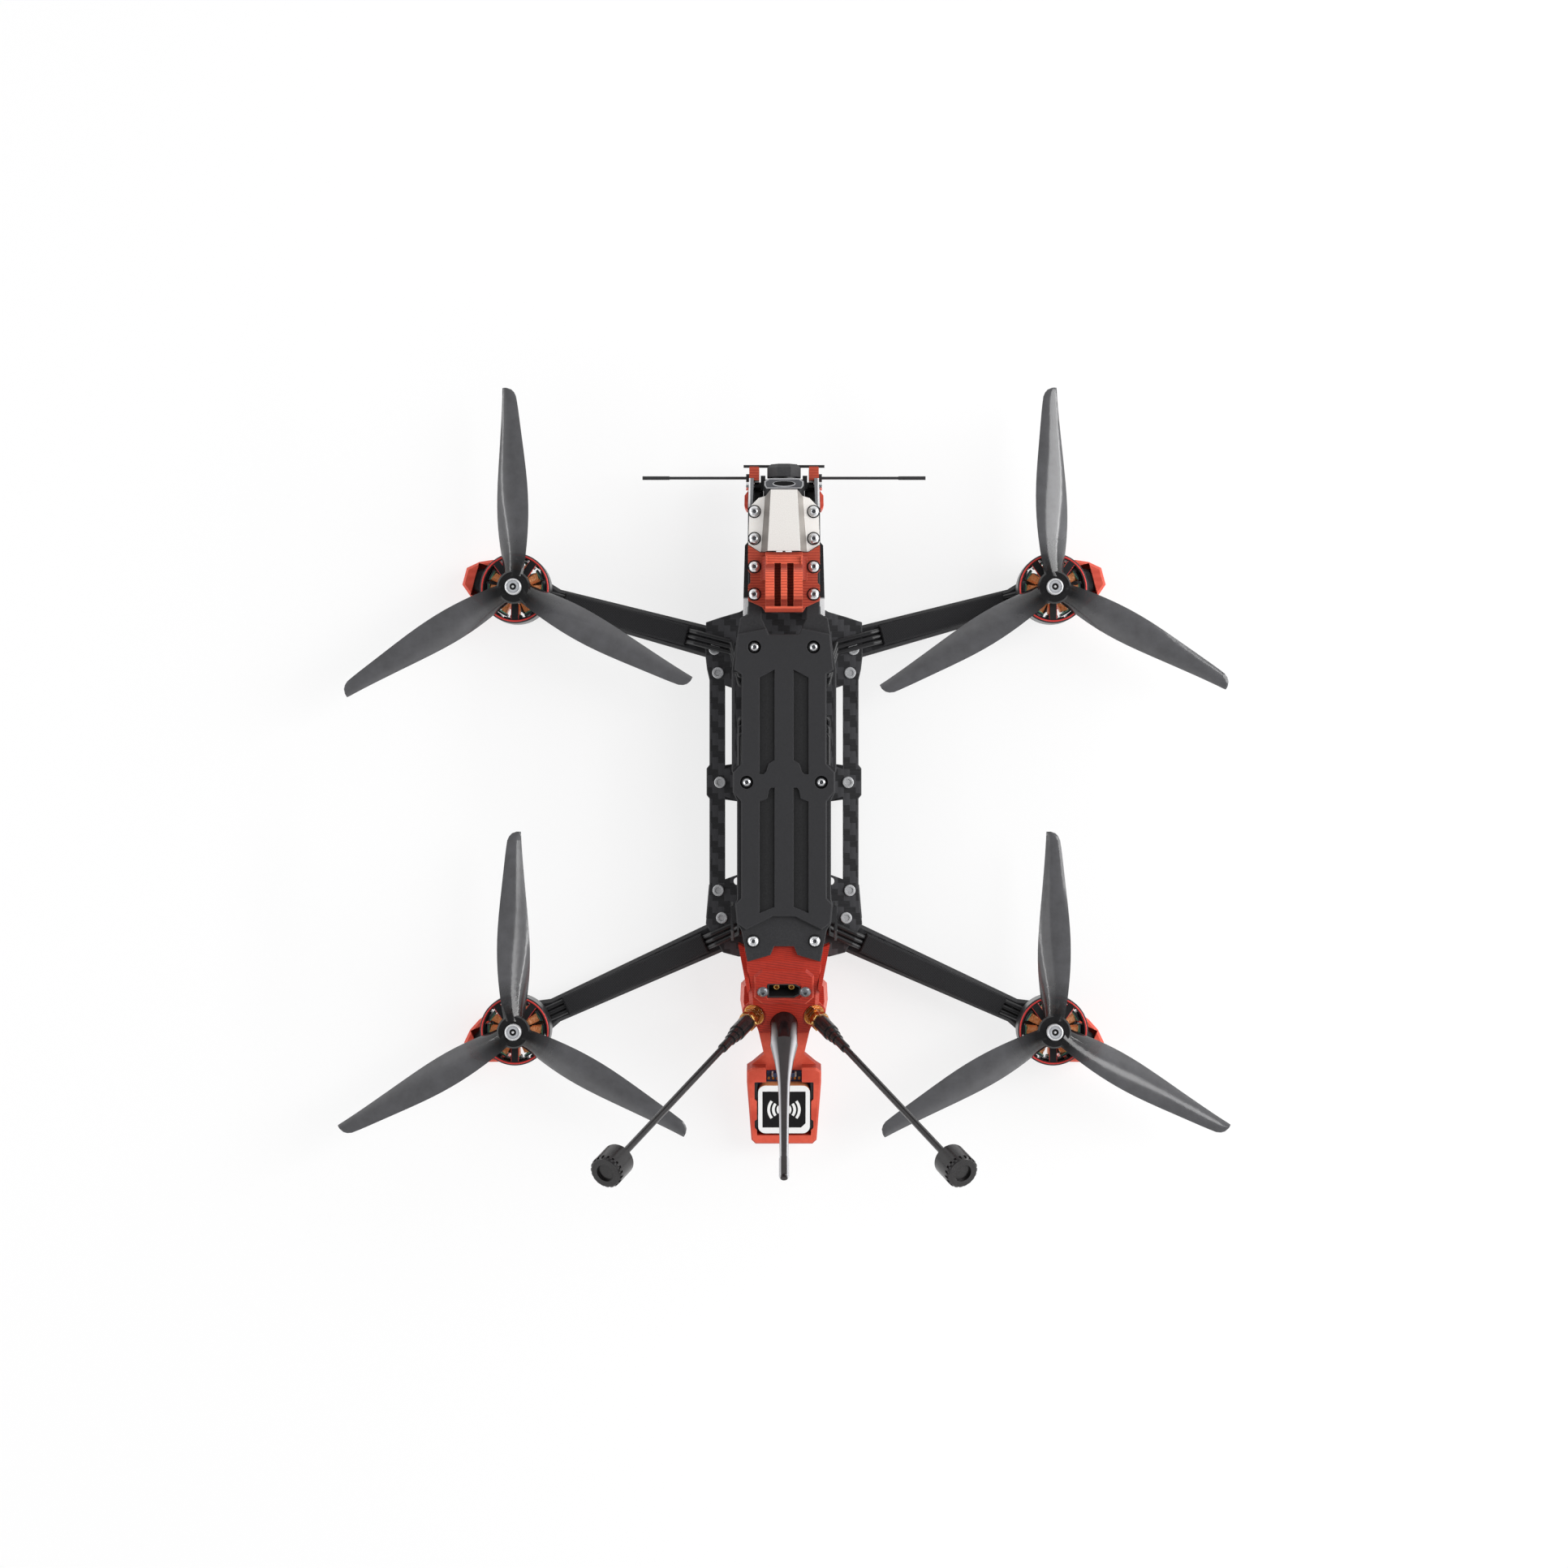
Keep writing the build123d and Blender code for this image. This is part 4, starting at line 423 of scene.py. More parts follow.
materials = {
    "carbon_plate": carbon("carbon_plate", tow=2.9, tones=((17, 17, 18), (56, 56, 59), (84, 84, 87))),
    "carbon_top": moulded("carbon_top", srgb(40, 40, 42), 0.5, grain=1400.0, edge_mm=0.35,
                          specular_ior_level=0.35),
    "battery_rubber": pad_rubber(),
    # Each red print's third colour is painted light and shade for its upright walls; red_mount also gets
    # painted shade on its lower parts.
    "red_mount": red_print("red_mount", (170, 58, 40), (250, 112, 80), (128, 42, 32),
                           (0.0, 1.0, 0.12), 1.3, 0.7, shaded=(54.5, 60.0)),
    "red_tail": red_print("red_tail", (128, 27, 15), (198, 50, 28), (224, 110, 92),
                          (0.12, 1.0, 0.4), 0.9, 0.5),
    "red_tray": red_print("red_tray", (188, 58, 38), (232, 98, 74), (156, 48, 32),
                          (0.0, 0.35, 1.0), 0.5, 0.6),
    "red_guard": red_print("red_guard", (198, 64, 46), (236, 98, 78), (232, 110, 92),
                           (0.0, 0.12, 1.0), 0.42, 0.35),
    "black_anodised": moulded("black_anodised", srgb(30, 30, 32), 0.32, grain=1800.0, depth_mm=0.01,
                              specular_ior_level=0.6, metallic=0.35),
    "black_plastic": moulded("black_plastic", srgb(34, 34, 36), 0.45, grain=1200.0),
    "black_rubber": moulded("black_rubber", srgb(36, 36, 38), 0.5, grain=1300.0, specular_ior_level=0.4),
    "cap_rubber": moulded("cap_rubber", srgb(45, 45, 47), 0.6, grain=1100.0, depth_mm=0.04),
    "satin_silver": blasted_silver(),
    "bright_steel": metal("bright_steel", srgb(232, 233, 235), 0.24),
    "nut_steel": moulded("nut_steel", srgb(198, 199, 201), 0.26, grain=1500.0, depth_mm=0.008, edge_mm=0.15,
                         metallic=0.3),
    "bolt_steel": bolt_steel(),
    "stator_steel": metal("stator_steel", srgb(128, 132, 140), 0.4, brushed=(0.1, 0.1, 2.4)),
    "copper": copper(),
    "wire_insulation": moulded("wire_insulation", srgb(26, 26, 28), 0.38, grain=1500.0, edge_mm=0.0001),
    "braid": braid(),
    "esc_board": solder_mask("esc_board", srgb(22, 40, 34)),
    "flight_board": solder_mask("flight_board", srgb(22, 26, 52)),
    "gps_board": solder_mask("gps_board", srgb(24, 40, 70)),
    "ceramic_patch": moulded("ceramic_patch", srgb(222, 146, 96), 0.5, grain=1500.0),
    "white_print": moulded("white_print", srgb(244, 244, 242), 0.45, grain=1600.0, depth_mm=0.005),
    "black_label_and_shade": moulded("black_label_and_shade", srgb(12, 12, 13), 0.6, grain=1600.0, depth_mm=0.005, edge_mm=0.05,
                           specular_ior_level=0.2),
    "gold_plate": metal("gold_plate", srgb(206, 156, 78), 0.24),
    "old_gold": metal("old_gold", srgb(196, 138, 70), 0.26),
    "capacitor_sleeve": moulded("capacitor_sleeve", srgb(30, 34, 44), 0.22, grain=900.0),
    "red_anodised": moulded("red_anodised", srgb(222, 60, 56), 0.3, grain=1500.0, depth_mm=0.008,
                            metallic=0.3),
    "mint": moulded("mint", srgb(140, 226, 178), 0.45, grain=1200.0),
    "dark_steel_and_shade": moulded("dark_steel_and_shade", srgb(112, 114, 118), 0.26, grain=1500.0, depth_mm=0.008, edge_mm=0.15,
                          metallic=0.4),
    "boot_black": moulded("boot_black", srgb(26, 24, 25), 0.24, grain=400.0, depth_mm=0.002, edge_mm=0.1),
    "machined": moulded("machined", srgb(178, 179, 182), 0.3, grain=1500.0, depth_mm=0.008, edge_mm=0.2,
                        metallic=0.2),
    "bezel_grey": moulded("bezel_grey", srgb(84, 85, 89), 0.4, grain=1500.0, depth_mm=0.008, metallic=0.2),
    "nylon": moulded("nylon", srgb(158, 160, 164), 0.4, grain=1500.0, depth_mm=0.008),
    "chip": moulded("chip", srgb(28, 28, 30), 0.42, grain=2000.0, depth_mm=0.01, edge_mm=0.1),
    "tan_chip": moulded("tan_chip", srgb(170, 138, 98), 0.4, grain=1500.0, edge_mm=0.1),
    "cream_plastic": moulded("cream_plastic", srgb(232, 226, 210), 0.4, grain=1000.0),
    "nose_plate": nose_plate(),
    "whip_gloss": whip_gloss(),
    "lens_glass": lens_glass(),
}
ARM_CLOTH = {"front_left": 15.0, "front_right": -15.0, "rear_left": -24.4, "rear_right": 24.4}
ARM_TOW_MM = 1.9
ARM_TONES = ((26, 26, 28), (36, 36, 39), (52, 52, 55))
for corner, degrees in ARM_CLOTH.items():
    materials[f"carbon_{corner}"] = carbon(f"carbon_{corner}", degrees, ARM_TOW_MM, ARM_TONES)
    materials[f"smoke_{corner}"] = smoke(f"smoke_{corner}", AXES[f"rotor_{corner}"])

FINISH = {
    "bottom_plate": "carbon_plate", "mid_plate": "carbon_plate", "top_plate": "carbon_top",
    "battery_pad": "battery_rubber", "action_camera_mount": "red_mount", "antenna_clips": "red_mount",
    "arm_guards": "red_guard", "gps_tray": "red_tray", "nose_bumpers": "red_guard",
    "tail_housing": "red_tail",
    "nose_side_plate_left": "nose_plate", "nose_side_plate_right": "nose_plate",
    "nose_cover": "satin_silver", "rear_side_covers": "black_plastic", "camera_housing": "black_anodised",
    "camera_cap": "cap_rubber", "camera_lens": "lens_glass", "camera_screws": "bright_steel",
    "case_screws": "bright_steel", "frame_bolts": "bolt_steel", "press_nuts": "nut_steel",
    "standoffs": "black_anodised", "stack_bolts": "bolt_steel", "flight_controller": "flight_board",
    "speed_controller": "esc_board", "radio_receiver": "flight_board", "gps_board": "gps_board",
    "gps_patch": "ceramic_patch", "video_transmitter": "black_anodised",
    "power_capacitor": "capacitor_sleeve",
    "power_connector": "black_plastic", "power_pins": "gold_plate", "antenna_sockets": "old_gold",
    "antenna_stem_left": "boot_black", "antenna_stem_right": "boot_black",
    "antenna_head_left": "boot_black", "antenna_head_right": "boot_black",
    "whip_antenna": "whip_gloss", "receiver_antennas": "black_rubber", "motor_bases": "black_anodised",
    "stators": "stator_steel", "windings": "copper", "motor_wires": "wire_insulation",
    "wire_sleeves": "braid",
}
for corner in CORNERS:
    FINISH[f"arm_{corner}"] = f"carbon_{corner}"
    FINISH[f"motor_bell_{corner}"] = "black_anodised"
    FINISH[f"propeller_{corner}"] = f"smoke_{corner}"
    FINISH[f"prop_nut_{corner}"] = "nut_steel"

for name, node in nodes.items():
    node.data.materials.clear()
    node.data.materials.append(materials[FINISH[name]])


# ======== shared makers ========
def piece(name, mesh, finish, body, smooth=30.0):
    """A finished mesh, in millimetres, as a named piece of the object that rides on a body."""
    data = bpy.data.meshes.new(name)
    bmesh.ops.scale(mesh, vec=(MM,) * 3, verts=mesh.verts)
    bmesh.ops.recalc_face_normals(mesh, faces=mesh.faces)
    mesh.to_mesh(data)
    mesh.free()
    made = bpy.data.objects.new(name, data)
    bpy.context.scene.collection.objects.link(made)
    data.materials.append(materials[finish])
    data.shade_smooth()
    data.set_sharp_from_angle(angle=radians(smooth))
    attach(made, body)
    return made


def lathe(mesh, profile, place, steps=48):
    """Closed profile of (radius, height) points turned about the local Z of a placement matrix."""
    rings = []
    for step in range(steps):
        angle = 2 * pi * step / steps
        rings.append([mesh.verts.new(place @ Vector((r * cos(angle), r * sin(angle), z)))
                      for r, z in profile])
    count = len(profile)
    for near, far in zip(rings, rings[1:] + rings[:1]):
        for point in range(count):
            after = (point + 1) % count
            mesh.faces.new((near[point], far[point], far[after], near[after]))


def block(mesh, place, size, centre, bevel=0.0):
    """Box with bevelled edges, placed by a matrix."""
    part = bmesh.new()
    bmesh.ops.create_cube(part, size=1.0)
    bmesh.ops.scale(part, vec=size, verts=part.verts)
    if bevel:
        bmesh.ops.bevel(part, geom=part.edges[:], offset=bevel, segments=2, affect="EDGES")
    bmesh.ops.transform(part, matrix=place @ Matrix.Translation(centre), verts=part.verts)
    data = bpy.data.meshes.new("block")
    part.to_mesh(data)
    part.free()
    mesh.from_mesh(data)
    bpy.data.meshes.remove(data)


def prism(mesh, place, outline, low, high):
    """Upright wall over an outline of (x, y) points, placed by a matrix."""
    rings = [[mesh.verts.new(place @ Vector((x, y, z))) for x, y in outline] for z in (low, high)]
    for index in range(len(outline)):
        after = (index + 1) % len(outline)
        mesh.faces.new((rings[0][index], rings[0][after], rings[1][after], rings[1][index]))
    mesh.faces.new(rings[0])
    mesh.faces.new(rings[1])


def tube(mesh, path, radius, sides=6, closed=False):
    """Round tube along a list of points."""
    count = len(path)
    rings = []
    for index, point in enumerate(path):
        before = path[index - 1] if closed or index else path[index]
        after = path[(index + 1) % count] if closed or index < count - 1 else path[index]
        forward = (after - before).normalized()
        helper = Vector((0.3, 0.2, 1.0)) if abs(forward.z) < 0.9 else Vector((1, 0, 0))
        side = forward.cross(helper).normalized()
        up = side.cross(forward)
        angles = [2 * pi * k / sides for k in range(sides)]
        rings.append([mesh.verts.new(point + radius * (side * cos(angle) + up * sin(angle)))
                      for angle in angles])
    pairs = list(zip(rings, rings[1:])) + ([(rings[-1], rings[0])] if closed else [])
    for near, far in pairs:
        for k in range(sides):
            after = (k + 1) % sides
            mesh.faces.new((near[k], near[after], far[after], far[k]))
    if not closed:
        mesh.faces.new(rings[0])
        mesh.faces.new(rings[-1])


def at(x, y, z, degrees=0.0):
    return Matrix.Translation((x, y, z)) @ Matrix.Rotation(radians(degrees), 4, "Z")


def pointing(origin, axis, right=(1.0, 0.0, 0.0)):
    """Placement whose local Z is the axis and whose local X is as near as may be to the given one."""
    up = Vector(axis).normalized()
    out = (Vector(right) - up * Vector(right).dot(up)).normalized()
    turn = Matrix((out, up.cross(out), up)).transposed().to_4x4()
    return Matrix.Translation(origin) @ turn


# ======== motors ========
BELL_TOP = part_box("propeller_front_left")[0].z / MM
STATOR_LOW, STATOR_HIGH = (corner.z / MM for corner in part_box("stators"))
TEETH = 12
SPOKES = 5
COIL_TURNS = 8
WIRE_R = 0.36
random.seed(7)


def coil_path(radius, half_wide, half_tall, lean):
    """One rounded turn of wire round a tooth, seen along the tooth."""
    corner = 0.6
    middle = (STATOR_LOW + STATOR_HIGH) / 2
    path = []
    for quarter, (sx, sz) in enumerate(((1, 1), (-1, 1), (-1, -1), (1, -1))):
        for step in range(4):
            angle = pi / 2 * (quarter + step / 3)
            across = sx * (half_wide - corner) + corner * cos(angle)
            up = sz * (half_tall - corner) + corner * sin(angle)
            path.append(Vector((radius + lean * across, across, middle + up)))
    return path


for corner in CORNERS:
    axis = AXES[f"rotor_{corner}"] / MM
    body = f"rotor_{corner}"
    here = at(axis.x, axis.y, 0)

    ring = bmesh.new()
    lathe(ring, [(15.38, BELL_TOP - 0.38), (16.12, BELL_TOP - 0.38), (16.12, BELL_TOP + 0.05),
                 (15.95, BELL_TOP + 0.18), (15.55, BELL_TOP + 0.18), (15.38, BELL_TOP + 0.05)], here, 96)
    piece(f"bell_ring_{corner}", ring, "red_anodised", body)

    trim = bmesh.new()
    for spoke in range(SPOKES):
        turned = at(axis.x, axis.y, 0, 90 + 360 / SPOKES * spoke)
        for side in (1, -1):
            block(trim, turned, (6.6, 0.32, 0.5), (11.6, side * 1.72, BELL_TOP - 0.3), 0.08)
    piece(f"spoke_trim_{corner}", trim, "red_anodised", body)

    coils = bmesh.new()
    caps = bmesh.new()
    for tooth in range(TEETH):
        turned = at(axis.x, axis.y, 0, 360 / TEETH * tooth)
        for turn in range(COIL_TURNS):
            share = turn / (COIL_TURNS - 1)
            wide = 1.2 + 0.4 * share
            path = coil_path(7.3 + 4.6 * share, wide, 5.35, random.uniform(0.22, 0.34))
            tube(coils, [turned @ point for point in path], WIRE_R, closed=True)
        for radius, wide in ((12.75, 4.6), (6.2, 2.4)):
            block(caps, turned, (0.6, wide, 1.5), (radius, 0, STATOR_HIGH + 0.75), 0.12)
            block(caps, turned, (0.6, wide, 1.5), (radius, 0, STATOR_LOW - 0.75), 0.12)
    made = piece(f"coils_{corner}", coils, "copper", "airframe", smooth=80.0)
    if corner == "front_left":
        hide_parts("windings")
    piece(f"insulators_{corner}", caps, "mint", "airframe")


# ======== screws ========
PLATE_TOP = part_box("top_plate")[1].z / MM
COVER_TOP = PLATE_TOP + 1.2
MOUNT_TOP = PLATE_TOP + 3.0
HEAD_R = 2.75
HEAD_TALL = 1.7
SHANK_R = 1.45
SOCKET = 1.05


def socket_ring(mesh, place, profile, steps=48):
    """Lathe whose points marked as hexagonal follow a hexagon instead of a circle."""
    rings = []
    for step in range(steps):
        angle = 2 * pi * step / steps
        flat = cos(radians(30)) / cos(angle % radians(60) - radians(30))
        rings.append([mesh.verts.new(place @ Vector((r * (flat if hexed else 1) * cos(angle),
                                                     r * (flat if hexed else 1) * sin(angle), z)))
                      for r, z, hexed in profile])
    count = len(profile)
    for near, far in zip(rings, rings[1:] + rings[:1]):
        for point in range(count):
            after = (point + 1) % count
            mesh.faces.new((near[point], far[point], far[after], near[after]))


def button_head(heads, sockets, place, length):
    """Domed screw with its hexagonal socket lined in darker steel as painted shade, and its shank below the
    seat.
    """
    dome = [(HEAD_R, 0.0, False), (HEAD_R + 0.03, 0.3, False), (HEAD_R * 0.93, 0.75, False),
            (HEAD_R * 0.78, 1.2, False), (HEAD_R * 0.6, 1.52, False), (SOCKET + 0.22, HEAD_TALL, True),
            (SOCKET, HEAD_TALL - 0.12, True), (SOCKET, 0.5, True), (0.02, 0.5, False), (0.02, -length, False),
            (SHANK_R, -length, False), (SHANK_R, 0.0, False)]
    socket_ring(heads, place, dome)
    # Painted shade: a darker liner inside the socket.
    socket_shade_liner = [(0.02, 0.52, False), (SOCKET - 0.02, 0.52, True), (SOCKET - 0.02, 1.45, True),
           (SOCKET - 0.1, 1.45, True), (SOCKET - 0.1, 0.62, True), (0.02, 0.62, False)]
    socket_ring(sockets, place, socket_shade_liner)


SCREWS = [(17.7, 3.5, PLATE_TOP, 9.0), (14.0, -60.6, PLATE_TOP, 9.0), (14.6, 78.8, PLATE_TOP, 9.0),
          (14.0, -124.8, COVER_TOP, 6.5), (14.0, -112.0, COVER_TOP, 6.5), (14.0, -98.5, MOUNT_TOP, 8.2),
          (14.0, -85.5, MOUNT_TOP, 8.2)]
heads = bmesh.new()
sockets = bmesh.new()
foot_shade_rings = bmesh.new()
for x, y, z, length in SCREWS:
    for side in (1, -1):
        place = at(side * x, y, z, random.uniform(0, 60))
        button_head(heads, sockets, place, length)
        # Painted shade: a thin black ring round the foot of each screw head.
        lathe(foot_shade_rings, [(2.8, 0.01), (3.12, 0.01), (3.12, 0.35), (3.02, 0.45), (2.8, 0.45)], place, 32)
PORT_TILT = radians(30.0)
PORT = pointing((0.0, 103.0, 40.24), (0.0, sin(PORT_TILT), cos(PORT_TILT)))
PORT_SCREW_X = 10.1
BLOCK_TALL = 0.9
port_heads = bmesh.new()
for side in (1, -1):
    button_head(port_heads, sockets, PORT @ Matrix.Translation((side * PORT_SCREW_X, 0, BLOCK_TALL)), 8.0)


def cut_corners(half_wide, front, rear, cut):
    """Outline of a rectangle with its corners cut off."""
    return [(half_wide, rear - cut), (half_wide - cut, rear), (cut - half_wide, rear),
            (-half_wide, rear - cut), (-half_wide, front + cut), (cut - half_wide, front),
            (half_wide - cut, front), (half_wide, front + cut)]


raised = bmesh.new()
loops = []
BLOCK_FOOT = cut_corners(14.9, -13.2, 7.9, 3.8)
BLOCK_FACE = cut_corners(13.5, -11.4, 6.6, 3.4)
PORT_HOLE = cut_corners(8.4, -4.45, 4.45, 0.8)
BLOCK_SUNK = -0.6
for outline, z in ((BLOCK_FOOT, BLOCK_SUNK), (BLOCK_FACE, BLOCK_TALL), (PORT_HOLE, BLOCK_TALL),
                   (PORT_HOLE, BLOCK_SUNK)):
    loops.append([raised.verts.new(PORT @ Vector((x, y, z))) for x, y in outline])
for near, far in zip(loops, loops[1:] + loops[:1]):
    for index in range(len(near)):
        after = (index + 1) % len(near)
        raised.faces.new((near[index], near[after], far[after], far[index]))
piece("port_block", raised, "red_tail", "airframe", smooth=10.0)
made = piece("case_screw_heads", heads, "bright_steel", "airframe", smooth=50.0)
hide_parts("case_screws")
piece("port_screw_heads", port_heads, "dark_steel_and_shade", "airframe", smooth=50.0)
piece("screw_socket_shade", sockets, "dark_steel_and_shade", "airframe")
piece("screw_foot_shade", foot_shade_rings, "black_label_and_shade", "airframe")

# ======== propeller nuts ========
NUT_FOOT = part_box("prop_nut_front_left")[0].z / MM
for corner in CORNERS:
    axis = AXES[f"rotor_{corner}"] / MM
    body = f"rotor_{corner}"
    here = at(axis.x, axis.y, NUT_FOOT)
    shell = bmesh.new()
    lathe(shell, [(2.95, 0.0), (3.88, 0.0), (3.88, 4.9), (3.72, 5.25), (3.4, 5.45), (3.1, 5.4),
                  (2.95, 5.1)], here)
    lathe(shell, [(0.02, 0.5), (0.6, 0.5), (0.6, 4.9), (0.45, 5.05), (0.02, 5.1)], here, 24)
    made = piece(f"nut_shell_{corner}", shell, "nut_steel", body)
    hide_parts(f"prop_nut_{corner}")
    collar = bmesh.new()
    lathe(collar, [(1.62, 0.0), (2.97, 0.0), (2.97, 4.9), (2.6, 5.15), (1.85, 5.15), (1.62, 4.95)], here)
    piece(f"nut_collar_{corner}", collar, "nylon", body)
    # Painted shade: a black ring inside the nut's bore, standing for the shade down the hole.
    well = bmesh.new()
    lathe(well, [(0.58, 0.0), (1.64, 0.0), (1.64, 4.7), (0.58, 4.4)], here, 24)
    piece(f"nut_bore_shade_{corner}", well, "black_label_and_shade", body)

# ======== camera bezel ========
BEZEL_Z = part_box("camera_housing")[1].z / MM


def ellipse(half_x, half_y, steps=32):
    """Outline of an ellipse about the origin."""
    return [(half_x * cos(2 * pi * k / steps), half_y * sin(2 * pi * k / steps)) for k in range(steps)]


bezel = bmesh.new()
prism(bezel, at(0, 0, BEZEL_Z), [(9.3, -137.6), (8.3, -136.2), (-8.3, -136.2), (-9.3, -137.6), (-9.3, -139.6),
                                 (-7.2, -141.0), (7.2, -141.0), (9.3, -139.6)], 0.02, 0.55)
piece("camera_bezel", bezel, "machined", "camera")
face = bmesh.new()
prism(face, at(0, 0, BEZEL_Z), [(8.7, -137.75), (8.0, -136.7), (-8.0, -136.7), (-8.7, -137.75),
                                (-8.7, -139.35), (-6.95, -140.5), (6.95, -140.5), (8.7, -139.35)], 0.5, 0.56)
piece("camera_face", face, "bezel_grey", "camera")
vent = bmesh.new()
prism(vent, at(0, -138.6, BEZEL_Z), ellipse(5.0, 1.15), 0.5, 0.6)
piece("camera_vent", vent, "black_label_and_shade", "camera")
rim = bmesh.new()
prism(rim, at(0, -138.4, BEZEL_Z), ellipse(5.5, 1.5), 0.3, 0.57)
piece("camera_vent_rim", rim, "machined", "camera")
shield = bmesh.new()
for side in (1, -1):
    block(shield, at(0, 0, 0), (1.9, 13.0, 0.8), (side * 10.85, -133.0, 27.4), 0.15)
    block(shield, at(0, 0, 0), (0.8, 13.0, 4.0), (side * 11.4, -133.0, 29.2), 0.15)
piece("camera_shields", shield, "black_anodised", "airframe")

# ======== gold nuts where the side antennas screw on ========
SIDE_BASE = Vector((14.2, 114.9, 31.5))
RISE = radians(58.0)
rims = bmesh.new()
for side in (1, -1):
    plan = Vector((side * 0.73, 0.68, 0)).normalized()
    axis = plan * cos(RISE) + Vector((0, 0, sin(RISE)))
    place = pointing(Vector((side * SIDE_BASE.x, SIDE_BASE.y, SIDE_BASE.z)) + axis * 6.6, axis)
    socket_ring(rims, place, [(3.95, 0.0, True), (4.75, 0.0, True), (4.95, 0.3, True), (4.95, 2.3, True),
                              (4.75, 2.6, True), (4.2, 2.6, False), (3.95, 2.3, False)], 60)
piece("antenna_nut_rims", rims, "gold_plate", "airframe")


# ======== GPS ========
GPS_Y = 158.6
GPS_Z = 14.0
TILT = radians(18.0)
gps = pointing((0.0, GPS_Y, GPS_Z), (0.0, sin(TILT), cos(TILT)))
PATCH_TOP = 9.2
FLOOR = 4.0
LABEL_LOW = PATCH_TOP + 0.15
LABEL_HIGH = PATCH_TOP + 0.2
ARC_HIGH = PATCH_TOP + 0.24


def rounded(half_x, half_y, radius, steps=6):
    """Outline of a rounded rectangle."""
    points = []
    for quarter, (sx, sy) in enumerate(((1, 1), (-1, 1), (-1, -1), (1, -1))):
        for step in range(steps + 1):
            angle = pi / 2 * (quarter + step / steps)
            points.append((sx * (half_x - radius) + radius * cos(angle),
                           sy * (half_y - radius) + radius * sin(angle)))
    return points


plate = bmesh.new()
prism(plate, gps, rounded(12.5, 12.5, 3.6), PATCH_TOP, LABEL_LOW)
piece("gps_plate", plate, "white_print", "airframe")
label = bmesh.new()
prism(label, gps, [(10.4, -9.4), (10.4, 9.4), (-8.2, 9.4), (-10.4, 7.2), (-10.4, -9.4)], LABEL_LOW, LABEL_HIGH)
piece("gps_label", label, "black_label_and_shade", "airframe")
arcs = bmesh.new()
ARC_HALF = radians(37.0)
for side in (0.0, pi):
    for radius, thick in ((3.0, 1.2), (5.15, 1.35), (7.4, 1.35)):
        steps = 14
        outline = []
        for index in range(steps + 1):
            angle = side - ARC_HALF + 2 * ARC_HALF * index / steps
            outline.append(((radius + thick / 2) * cos(angle), (radius + thick / 2) * sin(angle)))
        for index in range(steps, -1, -1):
            angle = side - ARC_HALF + 2 * ARC_HALF * index / steps
            outline.append(((radius - thick / 2) * cos(angle), (radius - thick / 2) * sin(angle)))
        prism(arcs, gps, outline, LABEL_HIGH, ARC_HIGH)
prism(arcs, gps, ellipse(1.3, 1.3, 24), LABEL_HIGH, ARC_HIGH)
piece("gps_arcs", arcs, "white_print", "airframe")

# Painted shade: black blocks in the gaps beside the GPS patch, standing for the shade down in them.
wells = bmesh.new()
RELIEFS = ([(12.85, -14.2), (14.1, -14.2), (14.1, -5.5), (12.85, -4.2)],
           [(12.85, 5.0), (14.1, 6.0), (14.1, 9.5), (12.85, 11.2)])
for outline in RELIEFS:
    for side in (1, -1):
        prism(wells, gps, [(side * x, y) for x, y in outline], FLOOR - 0.98, FLOOR + 4.6)
piece("gps_gap_shade", wells, "black_plastic", "airframe")
plug = bmesh.new()
block(plug, gps, (10.2, 1.9, 2.4), (0, -16.95, FLOOR + 1.4), 0.25)
for side in (1, -1):
    block(plug, gps, (1.2, 2.4, 1.2), (side * 5.4, -16.7, FLOOR + 0.8), 0.15)
piece("gps_plug", plug, "cream_plastic", "airframe")
pads = bmesh.new()
for index in range(8):
    if index not in (3, 4):
        block(pads, gps, (1.1, 1.5, 0.16), (2.1 * (index - 3.5), -14.3, FLOOR + 0.24), 0.04)
piece("gps_pads", pads, "gold_plate", "airframe")

# ======== small parts on the boards ========
BOARDS = {"flight_controller": (30.0, 34.0, 22), "speed_controller": (28.0, 34.0, 26),
          "radio_receiver": (12.0, 18.0, 12)}
for board, (wide, long, count) in BOARDS.items():
    low, high = (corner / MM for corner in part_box(board))
    middle = (low + high) / 2
    mask_z = low.z + (1.4 if board == "radio_receiver" else 1.6)
    chips = bmesh.new()
    caps = bmesh.new()
    for index in range(count):
        spot = (middle.x + random.uniform(-0.5, 0.5) * wide, middle.y + random.uniform(-0.5, 0.5) * long)
        place = at(*spot, mask_z, random.choice((0, 90)))
        if index % 3:
            block(caps, place, (1.6, 0.8, 0.7), (0, 0, 0.35), 0.08)
        else:
            block(chips, place, (3.0, 3.0, 0.8), (0, 0, 0.4), 0.08)
            for leg in range(-2, 3):
                block(caps, place, (3.8, 0.25, 0.12), (0, leg * 0.55, 0.12))
    piece(f"chips_{board}", chips, "chip", "airframe")
    piece(f"passives_{board}", caps, "tan_chip", "airframe")


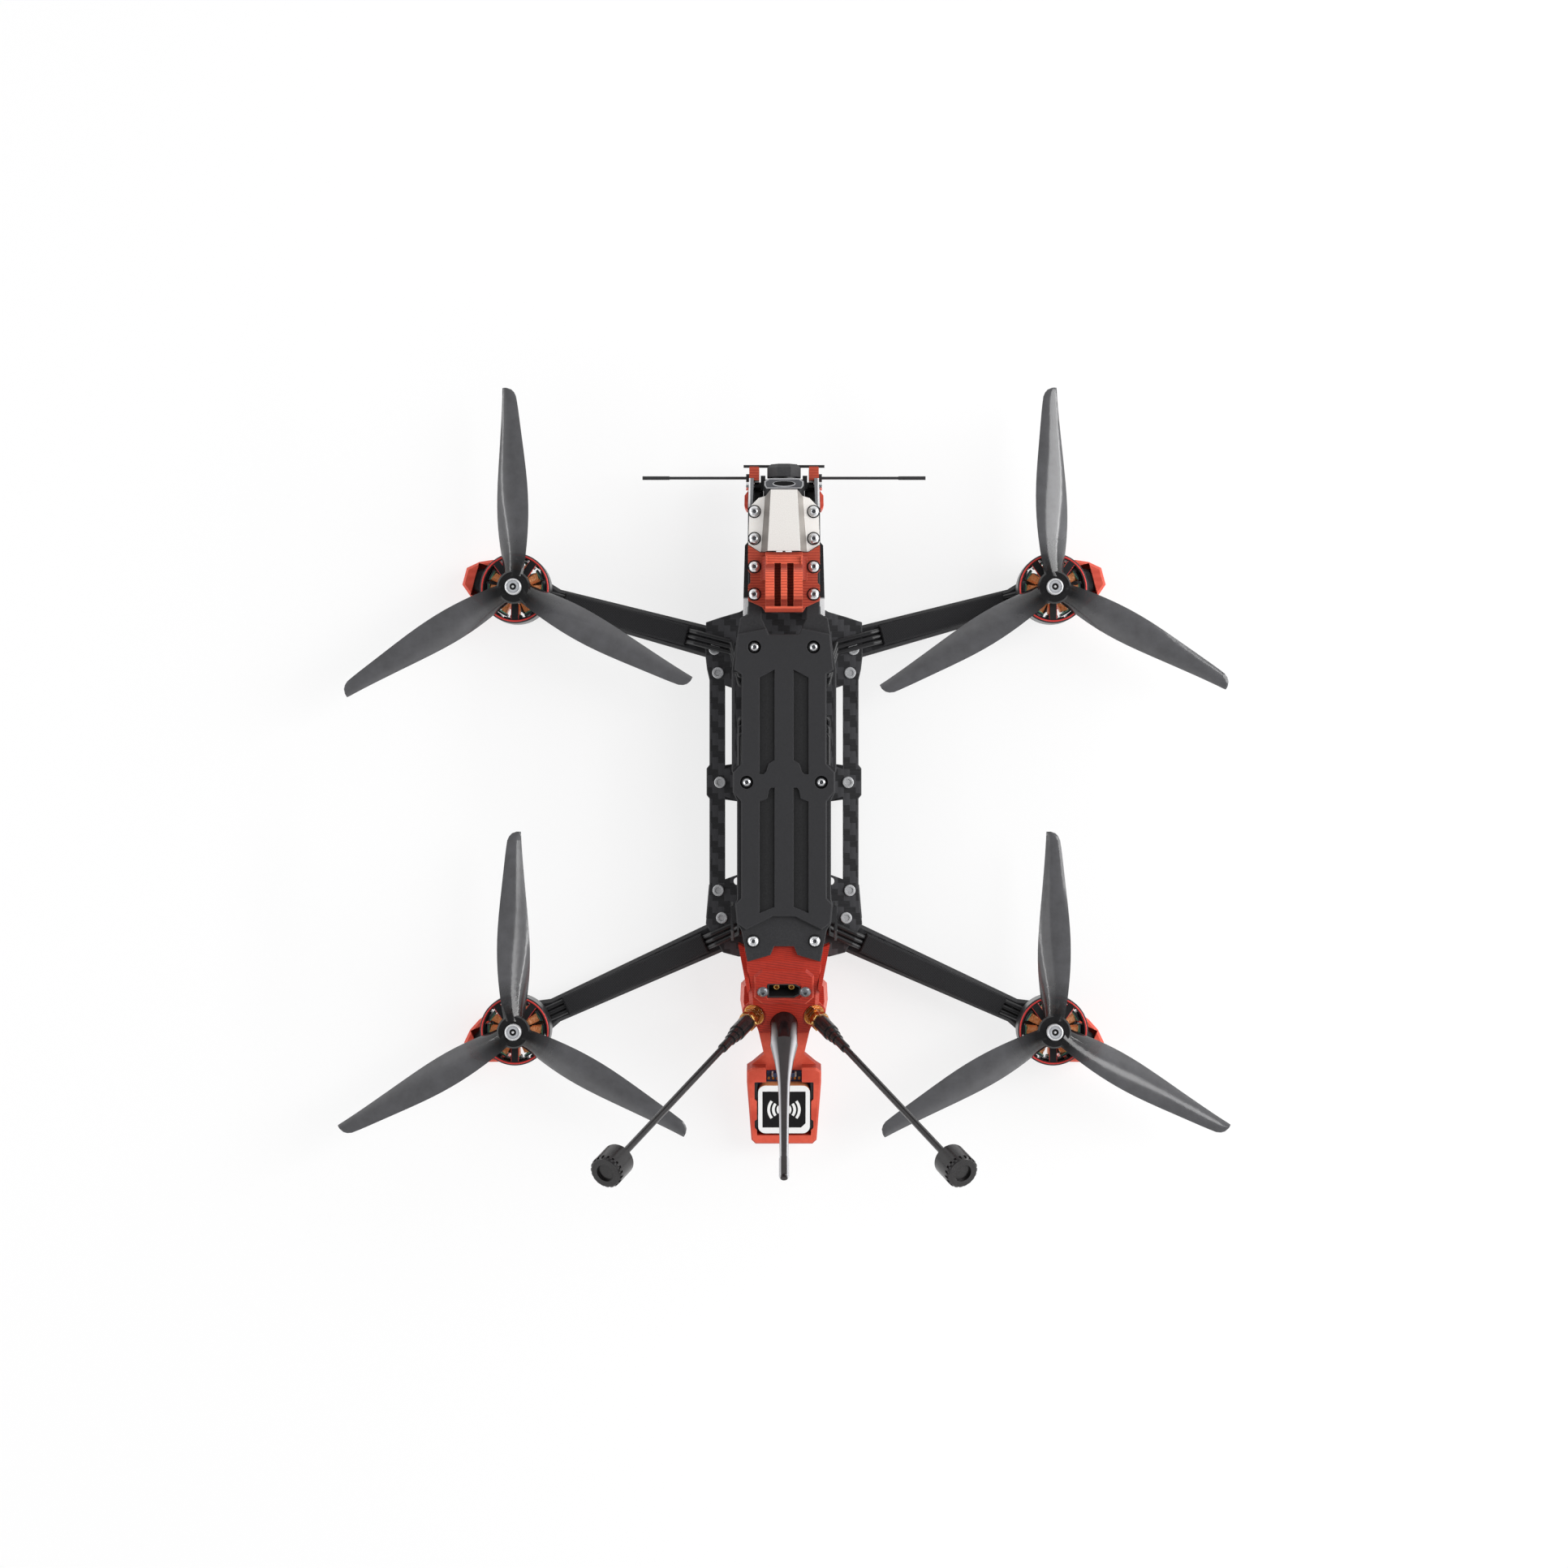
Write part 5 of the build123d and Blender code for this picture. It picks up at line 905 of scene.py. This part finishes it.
# ======== floor, light and camera ========
floor_mesh = bmesh.new()
bmesh.ops.create_grid(floor_mesh, x_segments=1, y_segments=1, size=6.0)
floor_data = bpy.data.meshes.new("floor")
floor_mesh.to_mesh(floor_data)
floor = bpy.data.objects.new("floor", floor_data)
floor.location.z = -0.0002
bpy.context.scene.collection.objects.link(floor)
ground = Paint("ground", srgb(140, 140, 140), 0.95, specular_ior_level=0.1, emission_strength=0.73,
               emission_color=(1.0, 1.0, 1.0, 1.0))
floor_data.materials.append(ground.material)

world = bpy.data.worlds.new("studio")
bpy.context.scene.world = world
world.use_nodes = True
sky = world.node_tree.nodes["Background"]
way = world.node_tree.nodes.new("ShaderNodeTexCoord")
parts = world.node_tree.nodes.new("ShaderNodeSeparateXYZ")
dome = world.node_tree.nodes.new("ShaderNodeValToRGB")
world.node_tree.links.new(way.outputs["Generated"], parts.inputs[0])
world.node_tree.links.new(parts.outputs["Z"], dome.inputs["Fac"])
world.node_tree.links.new(dome.outputs["Color"], sky.inputs["Color"])
dome.color_ramp.elements[0].position = 0.4
dome.color_ramp.elements[0].color = (1.0, 1.0, 1.0, 1.0)
dome.color_ramp.elements[1].position = 0.86
dome.color_ramp.elements[1].color = (0.2, 0.2, 0.205, 1.0)
sky.inputs["Strength"].default_value = 1.02


def softbox(name, place, target, size, watts):
    data = bpy.data.lights.new(name, "AREA")
    data.shape = "RECTANGLE"
    data.size, data.size_y = size
    data.energy = watts
    lamp = bpy.data.objects.new(name, data)
    lamp.location = place
    lamp.rotation_euler = (Vector(target) - Vector(place)).to_track_quat("-Z", "Y").to_euler()
    bpy.context.scene.collection.objects.link(lamp)


softbox("key", (-1.5, -0.4, 1.5), (0, 0, 0), (0.9, 1.6), 24)
softbox("fill", (1.7, 0.6, 1.5), (0, 0, 0), (1.0, 1.4), 4)
softbox("strip_right", (-1.5, 0.0, 0.62), (0, 0, 0.06), (2.4, 0.12), 10)
softbox("strip_left", (1.5, 0.0, 0.62), (0, 0, 0.06), (2.4, 0.12), 6)

camera_data = bpy.data.cameras.new("camera")
camera_data.lens = 75.0
camera_data.sensor_width = 36.0
camera = bpy.data.objects.new("camera", camera_data)
camera.location = (0.0, 0.0043, 1.6)
camera.rotation_euler = (0.0, 0.0, pi)
bpy.context.scene.collection.objects.link(camera)
bpy.context.scene.camera = camera
bpy.context.scene.view_settings.view_transform = "Standard"
